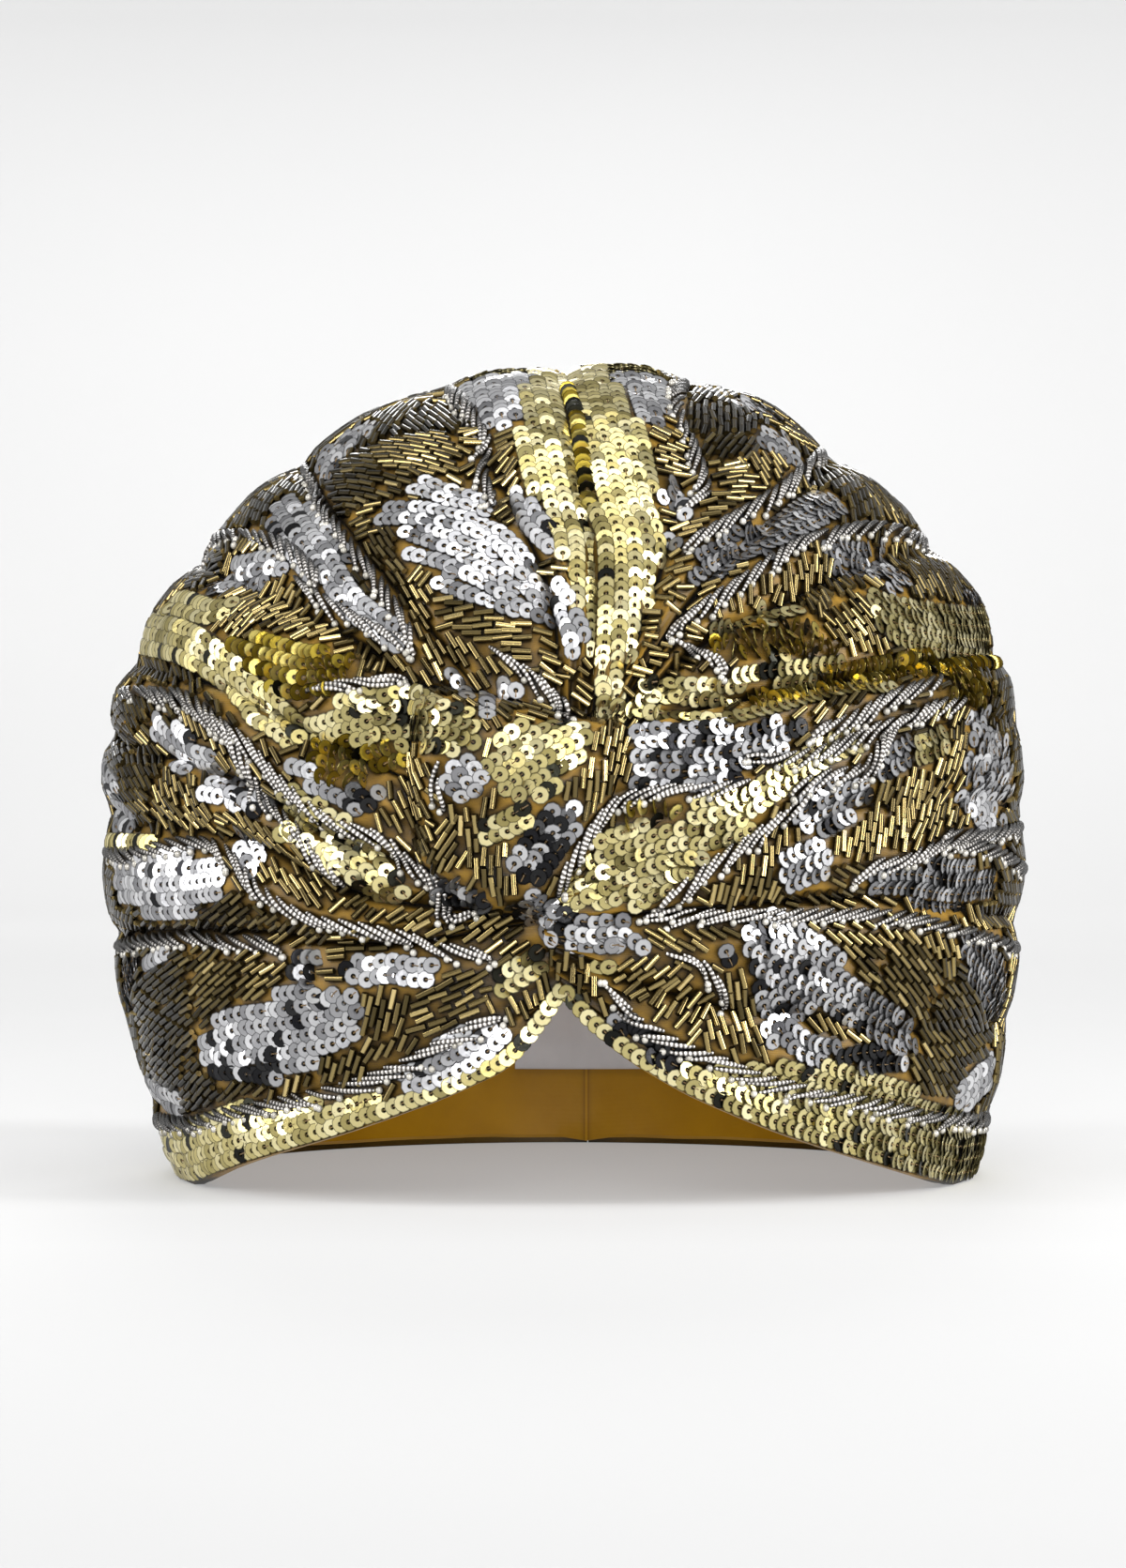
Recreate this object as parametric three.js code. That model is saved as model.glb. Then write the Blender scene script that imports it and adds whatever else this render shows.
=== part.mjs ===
// A close turban of beaded satin with a twisted front: a pleated crown, a drape round each side,
// the knot where they cross, a satin lining and a small bare label.
// Millimetres, +Z up. The front faces -Y. Left and right are as seen from the front, so +X is right.
// The origin is the middle of the footprint, on the surface that the rim stands on.

import * as THREE from 'three';

// Driving dimensions
const WALL = 2.6; // beaded satin with its interlining
const LINING_WALL = 1.2; // satin turned over a thin backing
const LABEL_WALL = 0.6;
const SEAM_GAP = 0.3; // clear space that neighbouring pieces keep
const CENTRE_HEIGHT = 78.3; // the walls are measured outward from this point on the axis
const LINING_INSET = { edge: 4.3, inside: 11.5 }; // lining behind the fullest puffs
const LINING_SETTLE = 20; // height above the edge over which the inset grows
const LINING_DROP = 0.8; // degrees that the lining's edge reaches below the ray to the rim
const LABEL = { width: 37, height: 26, low: 17.5, behind: 1.8, columns: 8, rows: 4 };
const BACK_TURN = 176.5; // centre-back seam, a little to the right

// Outline: a row for each height, with how far the fullest puffs stand from the axis on each side.
const SECTIONS = [
  { height: 0, left: 87, right: 92.5, front: 101, back: 99 },
  { height: 12, left: 91, right: 95.5, front: 101, back: 102 },
  { height: 25, left: 95, right: 98, front: 101, back: 105 },
  { height: 37, left: 98, right: 100, front: 101.5, back: 107 },
  { height: 54, left: 102, right: 102.5, front: 102, back: 108.2 },
  { height: 75, left: 103, right: 103, front: 102, back: 108.8 },
  { height: 92, left: 103, right: 103, front: 101.5, back: 108 },
  { height: 105, left: 101, right: 101.5, front: 99, back: 106 },
  { height: 117, left: 97, right: 98, front: 94.5, back: 102 },
  { height: 130, left: 90, right: 92.5, front: 87, back: 95 },
  { height: 147, left: 75.5, right: 79, front: 73, back: 80 },
  { height: 164, left: 56, right: 59.5, front: 54, back: 59 },
  { height: 174, left: 38, right: 44, front: 37, back: 40 },
  { height: 180, left: 20, right: 27, front: 20, back: 21 },
  { height: 182.5, left: 0, right: 0, front: 0, back: 0 },
];

// Lower edge: a row for each turn from the front, with the edge's height on the left and right.
// It arches over the brow and stands on the surface from the temples round to the back.
const RIM = [
  { turn: 0, left: 44.5, right: 44.5 },
  { turn: 3, left: 37, right: 38.5 },
  { turn: 6.5, left: 30, right: 33.3 },
  { turn: 11, left: 25.8, right: 28 },
  { turn: 17, left: 21.4, right: 22.4 },
  { turn: 29, left: 14.4, right: 14.2 },
  { turn: 44, left: 7.8, right: 7 },
  { turn: 58, left: 2.4, right: 2 },
  { turn: 68, left: 0, right: 0 },
  { turn: 120, left: 0, right: 0 },
  { turn: 190, left: 0, right: 0 },
];

// Creases: a row for each fold line. Each stop is [turn, rise] in degrees seen from the centre:
// turn 0 is the front and 90 the right, rise 90 is the top. dip is how deep the crease lies below
// the puffs beside it. A rim row has a turn only, and its height comes from RIM.
const STOPS = ['knot', 'near', 'front', 'side', 'rear', 'back'];
const B = BACK_TURN;
const CREASES = {
  leftSeam: {
    knot: [-19.6, 7.4], near: [-33, 12.9], front: [-53, 19], side: [-90, 21], rear: [-138, 19],
    back: [B, 15], dip: { near: 5.5, side: 3.8, back: 1.5 },
  },
  leftTemple: {
    knot: [-20, 19.5], near: [-29, 25], front: [-47, 31], side: [-90, 36], rear: [-140, 33],
    back: [B, 15], dip: { near: 4.5, side: 4, back: 1.5 },
  },
  leftCrown: {
    knot: [-11, 18.6], near: [-20, 28], front: [-38, 41.5], side: [-88, 54], rear: [-148, 46],
    back: [B, 15], dip: { near: 4.5, side: 4, back: 1.5 },
  },
  topLeft: {
    knot: [-1, 16], near: [-1.5, 31], front: [-11, 50], side: [-65, 73], rear: [-163, 57],
    back: [B, 15], dip: { near: 5, side: 3, back: 1.5 },
  },
  topSlit: {
    knot: [3, 15.6], near: [4.5, 36], front: [2.5, 57], side: [0, 87], rear: [B, 56],
    back: [B, 15], dip: { near: 3.5, side: 2.5, back: 1 },
  },
  topRight: {
    knot: [5.2, 15.5], near: [13, 31], front: [24, 50], side: [72, 73], rear: [158, 57],
    back: [B, 15], dip: { near: 4.5, side: 3, back: 1.5 },
  },
  rightCrown: {
    knot: [6.9, 15.3], near: [19, 31], front: [42, 45], side: [88, 54], rear: [144, 46],
    back: [B, 15], dip: { near: 4, side: 3.5, back: 1.5 },
  },
  rightTemple: {
    knot: [7.9, 14.7], near: [19, 24.5], front: [41, 33], side: [88, 37], rear: [138, 33],
    back: [B, 15], dip: { near: 5, side: 4, back: 1.5 },
  },
  rightSeam: {
    knot: [8.4, 13.7], near: [24, 17.2], front: [47, 20.3], side: [88, 21.5], rear: [136, 19],
    back: [B, 15], dip: { near: 5.5, side: 3.8, back: 1.5 },
  },
  rightHigh: {
    knot: [5.8, 5.2], near: [21, 9.5], front: [45, 13], side: [88, 13.5], rear: [136, 11],
    back: [B, 7], dip: { near: 2, side: 1.5, back: 1 },
  },
  rightMiddle: {
    knot: [2.6, -3], near: [20, -0.5], front: [43, 4], side: [88, 2.5], rear: [136, 0],
    back: [B, -2], dip: { near: 2.5, side: 2, back: 1 },
  },
  rightFold: {
    knot: [-2.5, -9.8], near: [14, -8.4], front: [43, -7.6], side: [88, -11.5], rear: [136, -12.5],
    back: [B, -13], dip: { near: 4.5, side: 4, back: 1.2 },
  },
  rightLow: {
    knot: [-1.66, -12.5], near: [17, -19], front: [42, -22.5], side: [88, -23.5], rear: [136, -23],
    back: [B, -23], dip: { near: 3.5, side: 2, back: 1 },
  },
  rightHem: {
    knot: [-0.3, -16.8], near: [13, -24.3], front: [42, -31], side: [88, -33.5], rear: [136, -32],
    back: [B, -31], dip: { near: 1.5, side: 1.8, back: 1 },
  },
  rightRim: {
    rim: true, knot: 0.3, near: 13, front: 42, side: 88, rear: 136, back: B,
    dip: { near: 0.4, side: 0.4, back: 0.4 },
  },
  leftHigh: {
    knot: [-18.2, -3], near: [-28.5, -0.6], front: [-47, 7.5], side: [-90, 12], rear: [-138, 10],
    back: [B, 7], dip: { near: 5.5, side: 4, back: 1.2 },
  },
  leftMiddle: {
    knot: [-9.5, -9], near: [-26, -6.8], front: [-45, 0], side: [-90, 2.5], rear: [-138, 0],
    back: [B, -2], dip: { near: 5.5, side: 3, back: 1 },
  },
  leftFold: {
    knot: [-2.5, -9.8], near: [-22, -12.6], front: [-48, -11.5], side: [-90, -13], rear: [-138, -13],
    back: [B, -13], dip: { near: 4.5, side: 4, back: 1.2 },
  },
  leftHem: {
    knot: [-0.3, -16.8], near: [-15, -24.3], front: [-43, -31], side: [-90, -33.5], rear: [-138, -32],
    back: [B, -31], dip: { near: 1.5, side: 1.8, back: 1 },
  },
  leftRim: {
    rim: true, knot: 0.3, near: -14, front: -43, side: -90, rear: -138, back: B - 360,
    dip: { near: 0.4, side: 0.4, back: 0.4 },
  },
};

// Panels: the creases of each, from one seam to the next, and how far the wall lifts off the
// outline beside the knot, where the left drape tucks under it and the right one runs into it.
const PANELS = {
  crown: {
    creases: ['leftSeam', 'leftTemple', 'leftCrown', 'topLeft', 'topSlit', 'topRight', 'rightCrown',
      'rightTemple', 'rightSeam'],
    lift: { knot: -2.5, near: 0 },
  },
  left_drape: {
    creases: ['leftSeam', 'leftHigh', 'leftMiddle', 'leftFold', 'leftHem', 'leftRim'],
    lift: { knot: -3.5, near: 0 },
  },
  right_drape: {
    creases: ['rightSeam', 'rightHigh', 'rightMiddle', 'rightFold', 'rightLow', 'rightHem',
      'rightRim'],
    lift: { knot: 1.5, near: 2 },
  },
};

const KNOT = {
  middle: [-6.5, 4.5], // turn and rise
  crest: 7, // above the outline at the middle
  tuck: -3.5, // where it meets the crown and the left drape
  run: 1.5, // where it runs on into the right drape
  shoulder: 5, // power of the rounded edge
  rings: [1, 0.95, 0.86, 0.7, 0.5, 0.25, 0],
  groove: { from: [-19, 2.5], to: [-6, -1.5], reach: 4, depth: 3.5 },
};

// Grid of each panel: steps between one stop and the next, and places across each puff.
const STEPS = [4, 5, 5, 6, 5];
const ACROSS = [0, 0.14, 0.5, 0.86];
const PUFF_ROUNDNESS = 0.6;
const LINING_COLUMNS = 36;
const LINING_ROWS = 11;
const LINING_CROWDING = 1.35; // power that gathers the lining's columns towards the arch

const COLOURS = {
  crown: 0x7d6a35,
  left_drape: 0x6f5d2e,
  right_drape: 0x84713a,
  twist_knot: 0xa8954f,
  lining: 0x9a6f16,
  label: 0xb5b5b8,
};

const TOP = new THREE.Vector3(0, 0, 1);

// Unit vector from the centre for a turn and a rise in degrees.
function direction(turn, rise) {
  const t = THREE.MathUtils.degToRad(turn);
  const r = THREE.MathUtils.degToRad(rise);
  return new THREE.Vector3(Math.sin(t) * Math.cos(r), -Math.cos(t) * Math.cos(r), Math.sin(r));
}

// Smooth value between the rows of a table whose keys grow: a cubic with the slope of its neighbours.
function smooth(keys, values, key) {
  const last = keys.length - 1;
  let i = 0;
  while (i < last - 1 && key > keys[i + 1]) i += 1;
  const slope = (k) => {
    const low = Math.max(k - 1, 0);
    const high = Math.min(k + 1, last);
    return (values[high] - values[low]) / (keys[high] - keys[low]);
  };
  const width = keys[i + 1] - keys[i];
  const t = THREE.MathUtils.clamp((key - keys[i]) / width, 0, 1);
  const rise = (3 - 2 * t) * t * t;
  const startSlope = t * (1 - t) * (1 - t) * width * slope(i);
  const endSlope = t * t * (1 - t) * width * slope(i + 1);
  return values[i] + (values[i + 1] - values[i]) * rise + startSlope - endSlope;
}

// Each side's outline as distance from the centre against rise.
function polarProfile(side) {
  const up = SECTIONS.map((row) => row.height - CENTRE_HEIGHT);
  const out = SECTIONS.map((row) => row[side]);
  return {
    rises: up.map((height, i) => Math.atan2(height, out[i])),
    distances: up.map((height, i) => Math.hypot(height, out[i])),
  };
}

const PROFILES = {
  left: polarProfile('left'),
  right: polarProfile('right'),
  front: polarProfile('front'),
  back: polarProfile('back'),
};

// Distance from the centre to the outline along a direction.
function outline(way) {
  const rise = Math.asin(THREE.MathUtils.clamp(way.z, -1, 1));
  const reach = (side) => smooth(PROFILES[side].rises, PROFILES[side].distances, rise);
  const flat = Math.max(way.x * way.x + way.y * way.y, 1e-12);
  const endShare = (way.y * way.y) / flat;
  const beside = reach(way.x > 0 ? 'right' : 'left');
  const ahead = reach(way.y < 0 ? 'front' : 'back');
  return beside * (1 - endShare) + ahead * endShare;
}

function rimHeight(turn) {
  const side = turn < 0 ? 'left' : 'right';
  return smooth(RIM.map((row) => row.turn), RIM.map((row) => row[side]), Math.abs(turn));
}

// Direction of the lower edge at a turn, found by closing in on the height of the edge.
function rimDirection(turn) {
  const drop = rimHeight(turn) - CENTRE_HEIGHT;
  let rise = -30;
  for (let i = 0; i < 40; i += 1) {
    rise = THREE.MathUtils.radToDeg(Math.asin(drop / outline(direction(turn, rise))));
  }
  return direction(turn, rise);
}

// A crease as a function of the share of its length, 0 at the knot and 1 at the back.
function creasePath(row) {
  if (row.rim) {
    const turns = STOPS.map((stop) => new THREE.Vector3(row[stop], 0, 0));
    const turnPath = new THREE.CatmullRomCurve3(turns, false, 'catmullrom', 0.5);
    return (share) => rimDirection(turnPath.getPoint(share).x);
  }
  const ways = STOPS.map((stop) => direction(...row[stop]));
  const path = new THREE.CatmullRomCurve3(ways, false, 'catmullrom', 0.5);
  return (share) => path.getPoint(share).normalize();
}

// Depth of a crease at a share of its length.
function creaseDip(row, share) {
  const { near, side, back } = row.dip;
  const atStops = [0.3 * near, near, (near + side) / 2, side, (side + back) / 2, 0];
  const place = Math.min(share * 5, 4.999);
  const stop = Math.floor(place);
  return THREE.MathUtils.lerp(atStops[stop], atStops[stop + 1], place - stop);
}

function panelLift(lift, share) {
  const place = share * 5;
  if (place < 1) return THREE.MathUtils.lerp(lift.knot, lift.near, place);
  return lift.near * Math.max(0, 2 - place);
}

const SHARES = [0];
STEPS.forEach((count, span) => {
  for (let i = 1; i <= count; i += 1) SHARES.push((span + i / count) / 5);
});

// Moves an edge direction off its seam, square to the edge and towards the inside of the piece.
function pull(way, before, after, inside, distance) {
  const along = after.clone().sub(before);
  const square = along.cross(way).normalize();
  if (square.dot(inside.clone().sub(way)) < 0) square.negate();
  return way.clone().addScaledVector(square, distance / outline(way)).normalize();
}

// Directions and distances of a pleated panel: rows from the knot to the back, columns across.
function panelGrid(panel) {
  const rows = panel.creases.map((name) => CREASES[name]);
  const paths = rows.map(creasePath);
  const closesAtBack = !rows[rows.length - 1].rim;
  return SHARES.map((share) => {
    const ways = paths.map((path) => path(share));
    const line = [];
    rows.forEach((row, i) => {
      const isLast = i === rows.length - 1;
      (isLast ? [0] : ACROSS).forEach((t) => {
        const next = Math.min(i + 1, rows.length - 1);
        const way = ways[i].clone().lerp(ways[next], t).normalize();
        const dip = THREE.MathUtils.lerp(creaseDip(row, share), creaseDip(rows[next], share), t);
        const full = (1 - (2 * t - 1) ** 2) ** PUFF_ROUNDNESS;
        const aboveRim = Math.min(1, (rows.length - 1 - i - t) / 3);
        const lift = panelLift(panel.lift, share) * (closesAtBack ? 1 : aboveRim);
        const distance = outline(way) + lift - dip * (1 - full);
        line.push({ way, distance });
      });
    });
    return line;
  });
}

// Draws the four edges of a panel back from their seams by half the gap.
function openSeams(grid, closedBack) {
  const half = SEAM_GAP / 2;
  const lastRow = grid.length - 1;
  const lastColumn = grid[0].length - 1;
  const at = (r, c) => grid[r][c].way;
  const clampRow = (r) => THREE.MathUtils.clamp(r, 0, lastRow);
  const clampColumn = (c) => THREE.MathUtils.clamp(c, 0, lastColumn);
  return grid.map((line, r) => line.map((point, c) => {
    let way = point.way.clone();
    const backEdge = r === lastRow;
    if (backEdge && closedBack) {
      way = direction(BACK_TURN, 15.4);
      return { way, distance: outline(way) };
    }
    if (c === 0 || c === lastColumn) {
      const inside = at(r, c === 0 ? 1 : c - 1);
      way = pull(way, at(clampRow(r - 1), c), at(clampRow(r + 1), c), inside, half);
    }
    if (r === 0 || backEdge) {
      const inside = at(r === 0 ? 1 : r - 1, c);
      way = pull(way, at(r, clampColumn(c - 1)), at(r, clampColumn(c + 1)), inside, half);
    }
    return { way, distance: point.distance };
  }));
}

function place(way, distance) {
  return way.clone().multiplyScalar(distance).setZ(way.z * distance + CENTRE_HEIGHT);
}

// A closed wall between an outer and an inner grid of points, as one triangle mesh.
// wrap joins the last column to the first. Points that fall together become one.
function wallGeometry(outer, inner, wrap) {
  const positions = [];
  const triangles = [];
  const known = new Map();
  const vertex = (point) => {
    const key = [point.x, point.y, point.z].map((value) => Math.round(value * 1000)).join(' ');
    if (!known.has(key)) {
      known.set(key, positions.length / 3);
      positions.push(point.x, point.y, point.z);
    }
    return known.get(key);
  };
  const triangle = (a, b, c) => {
    if (a !== b && b !== c && a !== c) triangles.push(a, b, c);
  };
  const quad = (a, b, c, d) => {
    triangle(a, b, c);
    triangle(a, c, d);
  };
  const out = outer.map((line) => line.map(vertex));
  const back = inner.map((line) => line.map(vertex));
  const rows = out.length;
  const columns = out[0].length;
  const spans = wrap ? columns : columns - 1;
  for (let r = 0; r < rows - 1; r += 1) {
    for (let c = 0; c < spans; c += 1) {
      const n = (c + 1) % columns;
      quad(out[r][c], out[r + 1][c], out[r + 1][n], out[r][n]);
      quad(back[r][c], back[r][n], back[r + 1][n], back[r + 1][c]);
    }
    if (!wrap) {
      const e = columns - 1;
      quad(out[r][0], back[r][0], back[r + 1][0], out[r + 1][0]);
      quad(out[r][e], out[r + 1][e], back[r + 1][e], back[r][e]);
    }
  }
  const z = rows - 1;
  for (let c = 0; c < spans; c += 1) {
    const n = (c + 1) % columns;
    quad(out[0][c], out[0][n], back[0][n], back[0][c]);
    quad(out[z][c], back[z][c], back[z][n], out[z][n]);
  }
  const geometry = new THREE.BufferGeometry();
  geometry.setAttribute('position', new THREE.Float32BufferAttribute(positions, 3));
  geometry.setIndex(triangles);
  return orientOutward(geometry);
}

// Turns every triangle over if the mesh encloses a negative volume, and works out the normals.
function orientOutward(geometry) {
  const index = geometry.getIndex().array;
  const position = geometry.getAttribute('position');
  const [a, b, c] = [new THREE.Vector3(), new THREE.Vector3(), new THREE.Vector3()];
  let volume = 0;
  for (let i = 0; i < index.length; i += 3) {
    a.fromBufferAttribute(position, index[i]);
    b.fromBufferAttribute(position, index[i + 1]);
    c.fromBufferAttribute(position, index[i + 2]);
    volume += a.dot(b.cross(c)) / 6;
  }
  if (volume < 0) {
    for (let i = 0; i < index.length; i += 3) {
      [index[i + 1], index[i + 2]] = [index[i + 2], index[i + 1]];
    }
  }
  geometry.computeVertexNormals();
  return geometry;
}

// Inner point of a wall. Along the lower edge it lies level with the outer one, so that the edge
// is a flat band that the turban can stand on.
function innerPoint(way, distance, wall, levelHeight) {
  const point = place(way, distance - wall);
  if (levelHeight === null) return point;
  const outerPoint = place(way, distance);
  const flat = Math.hypot(outerPoint.x, outerPoint.y);
  const share = (flat - wall * 0.85) / flat;
  return new THREE.Vector3(outerPoint.x * share, outerPoint.y * share, outerPoint.z);
}

function panelPiece(name) {
  const panel = PANELS[name];
  const closedBack = name === 'crown';
  const grid = openSeams(panelGrid(panel), closedBack);
  const hasRim = !closedBack;
  const lastColumn = grid[0].length - 1;
  const outer = [];
  const inner = [];
  grid.forEach((line) => {
    const outerLine = line.map(({ way, distance }, c) => {
      const point = place(way, distance);
      if (hasRim && c === lastColumn) point.z = levelEdge(point, way);
      return point;
    });
    outer.push(outerLine);
    inner.push(line.map(({ way, distance }, c) => {
      if (!hasRim || c !== lastColumn) return innerPoint(way, distance, WALL, null);
      const point = innerPoint(way, distance, WALL, 0);
      point.z = outerLine[c].z;
      return point;
    }));
  });
  return piece(name, wallGeometry(outer, inner, false), { roughness: 0.35, metalness: 0.6 });
}

// Height of the lower edge at a point: exactly on the surface where the rim stands on it.
function levelEdge(point, way) {
  const turn = THREE.MathUtils.radToDeg(Math.atan2(way.x, -way.y));
  const height = rimHeight(turn);
  return height < 0.05 ? 0 : point.z;
}

// Outer loop of the knot: along the crown's front edge, down the right drape and back up the left.
function knotLoop(grids) {
  const crownEdge = grids.crown[0].map((point) => point.way);
  const rightEdge = grids.right_drape[0].map((point) => point.way);
  const leftEdge = grids.left_drape[0].map((point) => point.way);
  const puffsToHub = 3; // puffs of each drape that meet the knot, above the lower hub
  const count = puffsToHub * ACROSS.length;
  const down = rightEdge.slice(1, count + 1);
  const up = leftEdge.slice(1, count).reverse();
  return [...crownEdge, ...down, ...up];
}

// Rounded relief of the knot: a crest in the middle, rolled under at its edge except where it runs
// on into the right drape, with one groove from its left edge.
function knotDistance(way, ring, edgeLift) {
  const rounded = 1 - ring ** KNOT.shoulder;
  const lift = edgeLift + (KNOT.crest - edgeLift) * rounded;
  const from = direction(...KNOT.groove.from);
  const to = direction(...KNOT.groove.to);
  const nearest = new THREE.Line3(from, to).closestPointToPoint(way, true, new THREE.Vector3());
  const away = THREE.MathUtils.radToDeg(nearest.distanceTo(way)) / KNOT.groove.reach;
  const groove = KNOT.groove.depth * Math.exp(-away * away) * (0.4 + 0.6 * rounded);
  return outline(way) + lift - groove;
}

function knotPiece(grids) {
  const loop = knotLoop(grids);
  const middle = direction(...KNOT.middle);
  const count = loop.length;
  const drawn = loop.map((way, i) => {
    const before = loop[(i + count - 1) % count];
    const after = loop[(i + 1) % count];
    return pull(way, before, after, middle, SEAM_GAP / 2);
  });
  const outer = [];
  const inner = [];
  KNOT.rings.forEach((ring) => {
    const line = drawn.map((way) => {
      const towardRight = THREE.MathUtils.smoothstep(way.x - middle.x, 0.02, 0.16);
      const belowTop = 1 - THREE.MathUtils.smoothstep(way.z, 0.14, 0.25);
      const edgeLift = THREE.MathUtils.lerp(KNOT.tuck, KNOT.run, towardRight * belowTop);
      const here = middle.clone().lerp(way, ring).normalize();
      return { way: here, distance: knotDistance(here, ring, edgeLift) };
    });
    outer.push(line.map(({ way, distance }) => place(way, distance)));
    inner.push(line.map(({ way, distance }) => place(way, distance - WALL)));
  });
  const geometry = wallGeometry(outer, inner, true);
  return piece('twist_knot', geometry, { roughness: 0.3, metalness: 0.65 });
}

// Distance to the outside of the lining: close behind the wall at its edge and clear of the creases
// higher up.
function liningDistance(way, edgeHeight) {
  const height = outline(way) * way.z + CENTRE_HEIGHT;
  const settled = THREE.MathUtils.smoothstep(height - edgeHeight, 0, LINING_SETTLE);
  const inset = THREE.MathUtils.lerp(LINING_INSET.edge, LINING_INSET.inside, settled);
  return outline(way) - inset;
}

function liningPiece() {
  const outer = [];
  const inner = [];
  for (let r = 0; r <= LINING_ROWS; r += 1) {
    const outerLine = [];
    const innerLine = [];
    for (let c = 0; c < LINING_COLUMNS; c += 1) {
      const half = (2 * c) / LINING_COLUMNS - 1; // -1 and 1 at the back, 0 at the front
      const turn = Math.sign(half) * 180 * Math.abs(half) ** LINING_CROWDING;
      const edge = rimDirection(turn);
      const edgeRise = THREE.MathUtils.radToDeg(Math.asin(edge.z)) - LINING_DROP;
      const rise = THREE.MathUtils.lerp(90, edgeRise, r / LINING_ROWS);
      const way = r === 0 ? TOP.clone() : direction(turn, rise);
      const distance = liningDistance(way, rimHeight(turn));
      outerLine.push(place(way, distance));
      innerLine.push(place(way, distance - LINING_WALL));
    }
    outer.push(outerLine);
    inner.push(innerLine);
  }
  const geometry = wallGeometry(outer, inner, true);
  return piece('lining', geometry, { roughness: 0.4, metalness: 0.05 });
}

// A bare woven tab against the inside of the lining at the centre back.
function labelPiece() {
  const outer = [];
  const inner = [];
  for (let r = 0; r <= LABEL.rows; r += 1) {
    const outerLine = [];
    const innerLine = [];
    for (let c = 0; c <= LABEL.columns; c += 1) {
      const height = LABEL.low + (LABEL.height * r) / LABEL.rows;
      const across = LABEL.width * (c / LABEL.columns - 0.5);
      const turn = BACK_TURN - THREE.MathUtils.radToDeg(across / SECTIONS[0].back);
      const rise = Math.atan2(height - CENTRE_HEIGHT, SECTIONS[0].back);
      const way = direction(turn, THREE.MathUtils.radToDeg(rise));
      const face = liningDistance(way, 0) - LINING_WALL - LABEL.behind;
      outerLine.push(place(way, face));
      innerLine.push(place(way, face - LABEL_WALL));
    }
    outer.push(outerLine);
    inner.push(innerLine);
  }
  return piece('label', wallGeometry(outer, inner, false), { roughness: 0.6, metalness: 0 });
}

function piece(name, geometry, finish) {
  const material = new THREE.MeshStandardMaterial({ color: COLOURS[name], ...finish });
  const mesh = new THREE.Mesh(geometry, material);
  mesh.name = name;
  return mesh;
}

const turban = new THREE.Group();
const grids = {};
Object.keys(PANELS).forEach((name) => {
  grids[name] = panelGrid(PANELS[name]);
  turban.add(panelPiece(name));
});
turban.add(knotPiece(grids));
turban.add(liningPiece());
turban.add(labelPiece());

export default turban;
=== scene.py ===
# %% [markdown]
# # A beaded satin turban with a twisted front
# The turban is a close cap of satin, pleated from a knot over the forehead to the centre back.
# Its whole outside is covered with bugle beads, flat sequins and vines of coiled wire that each
# end in a pearl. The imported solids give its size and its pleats. This lesson makes the cloth
# again with finer folds, and then sews the beads onto it, one kind after another.

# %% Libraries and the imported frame
import bmesh
import bpy
import numpy as np
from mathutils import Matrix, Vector
from mathutils.bvhtree import BVHTree


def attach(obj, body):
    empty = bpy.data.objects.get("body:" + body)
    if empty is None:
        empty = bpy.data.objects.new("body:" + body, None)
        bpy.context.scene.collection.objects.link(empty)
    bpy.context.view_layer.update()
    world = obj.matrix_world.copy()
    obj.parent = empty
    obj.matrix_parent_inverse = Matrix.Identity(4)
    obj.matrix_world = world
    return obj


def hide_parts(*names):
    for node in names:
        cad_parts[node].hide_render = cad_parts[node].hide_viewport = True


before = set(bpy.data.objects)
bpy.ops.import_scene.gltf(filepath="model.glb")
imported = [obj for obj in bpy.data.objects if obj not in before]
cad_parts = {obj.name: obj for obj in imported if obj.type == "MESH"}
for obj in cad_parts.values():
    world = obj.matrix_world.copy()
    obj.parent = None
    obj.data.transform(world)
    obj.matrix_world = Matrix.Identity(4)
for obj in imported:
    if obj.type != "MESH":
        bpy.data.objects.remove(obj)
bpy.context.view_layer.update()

# %% [markdown]
# ## Camera
# The camera comes first, because the beads of the front are placed by where they show in the
# front view. It stands far away with a long lens, a little above the rim, so that the turban
# keeps its proportions.

# %% Camera
MM = 0.001
LOOK_AT = np.array([0.0, 0.0, 88.3])
CAMERA_DISTANCE = 1600.0
CAMERA_RISE = np.radians(1.2)
VIEW_WIDTH = 255.3
SENSOR = 36.0
scene = bpy.context.scene
camera_at = LOOK_AT + CAMERA_DISTANCE * np.array([0.0, -np.cos(CAMERA_RISE), np.sin(CAMERA_RISE)])
camera_data = bpy.data.cameras.new("front_camera")
camera_data.sensor_fit = "HORIZONTAL"
camera_data.sensor_width = SENSOR
camera_data.lens = SENSOR * CAMERA_DISTANCE / VIEW_WIDTH
camera_data.clip_end = 20.0
camera = bpy.data.objects.new("front_camera", camera_data)
camera.location = Vector(camera_at * MM)
camera.rotation_euler = (np.pi / 2 - CAMERA_RISE, 0.0, 0.0)
scene.collection.objects.link(camera)
scene.camera = camera
print("lens in millimetres:", round(camera_data.lens, 1))

# %% [markdown]
# ## The outline
# The cap is measured outward from one point on its axis, the centre. For each height in the first
# list, the table gives how far the fullest puffs stand from the axis to the left, the right, the
# front and the back. A smooth curve through the values gives the distance at any rise, and
# between two sides the distances blend by the share of the direction that points to each.

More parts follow.
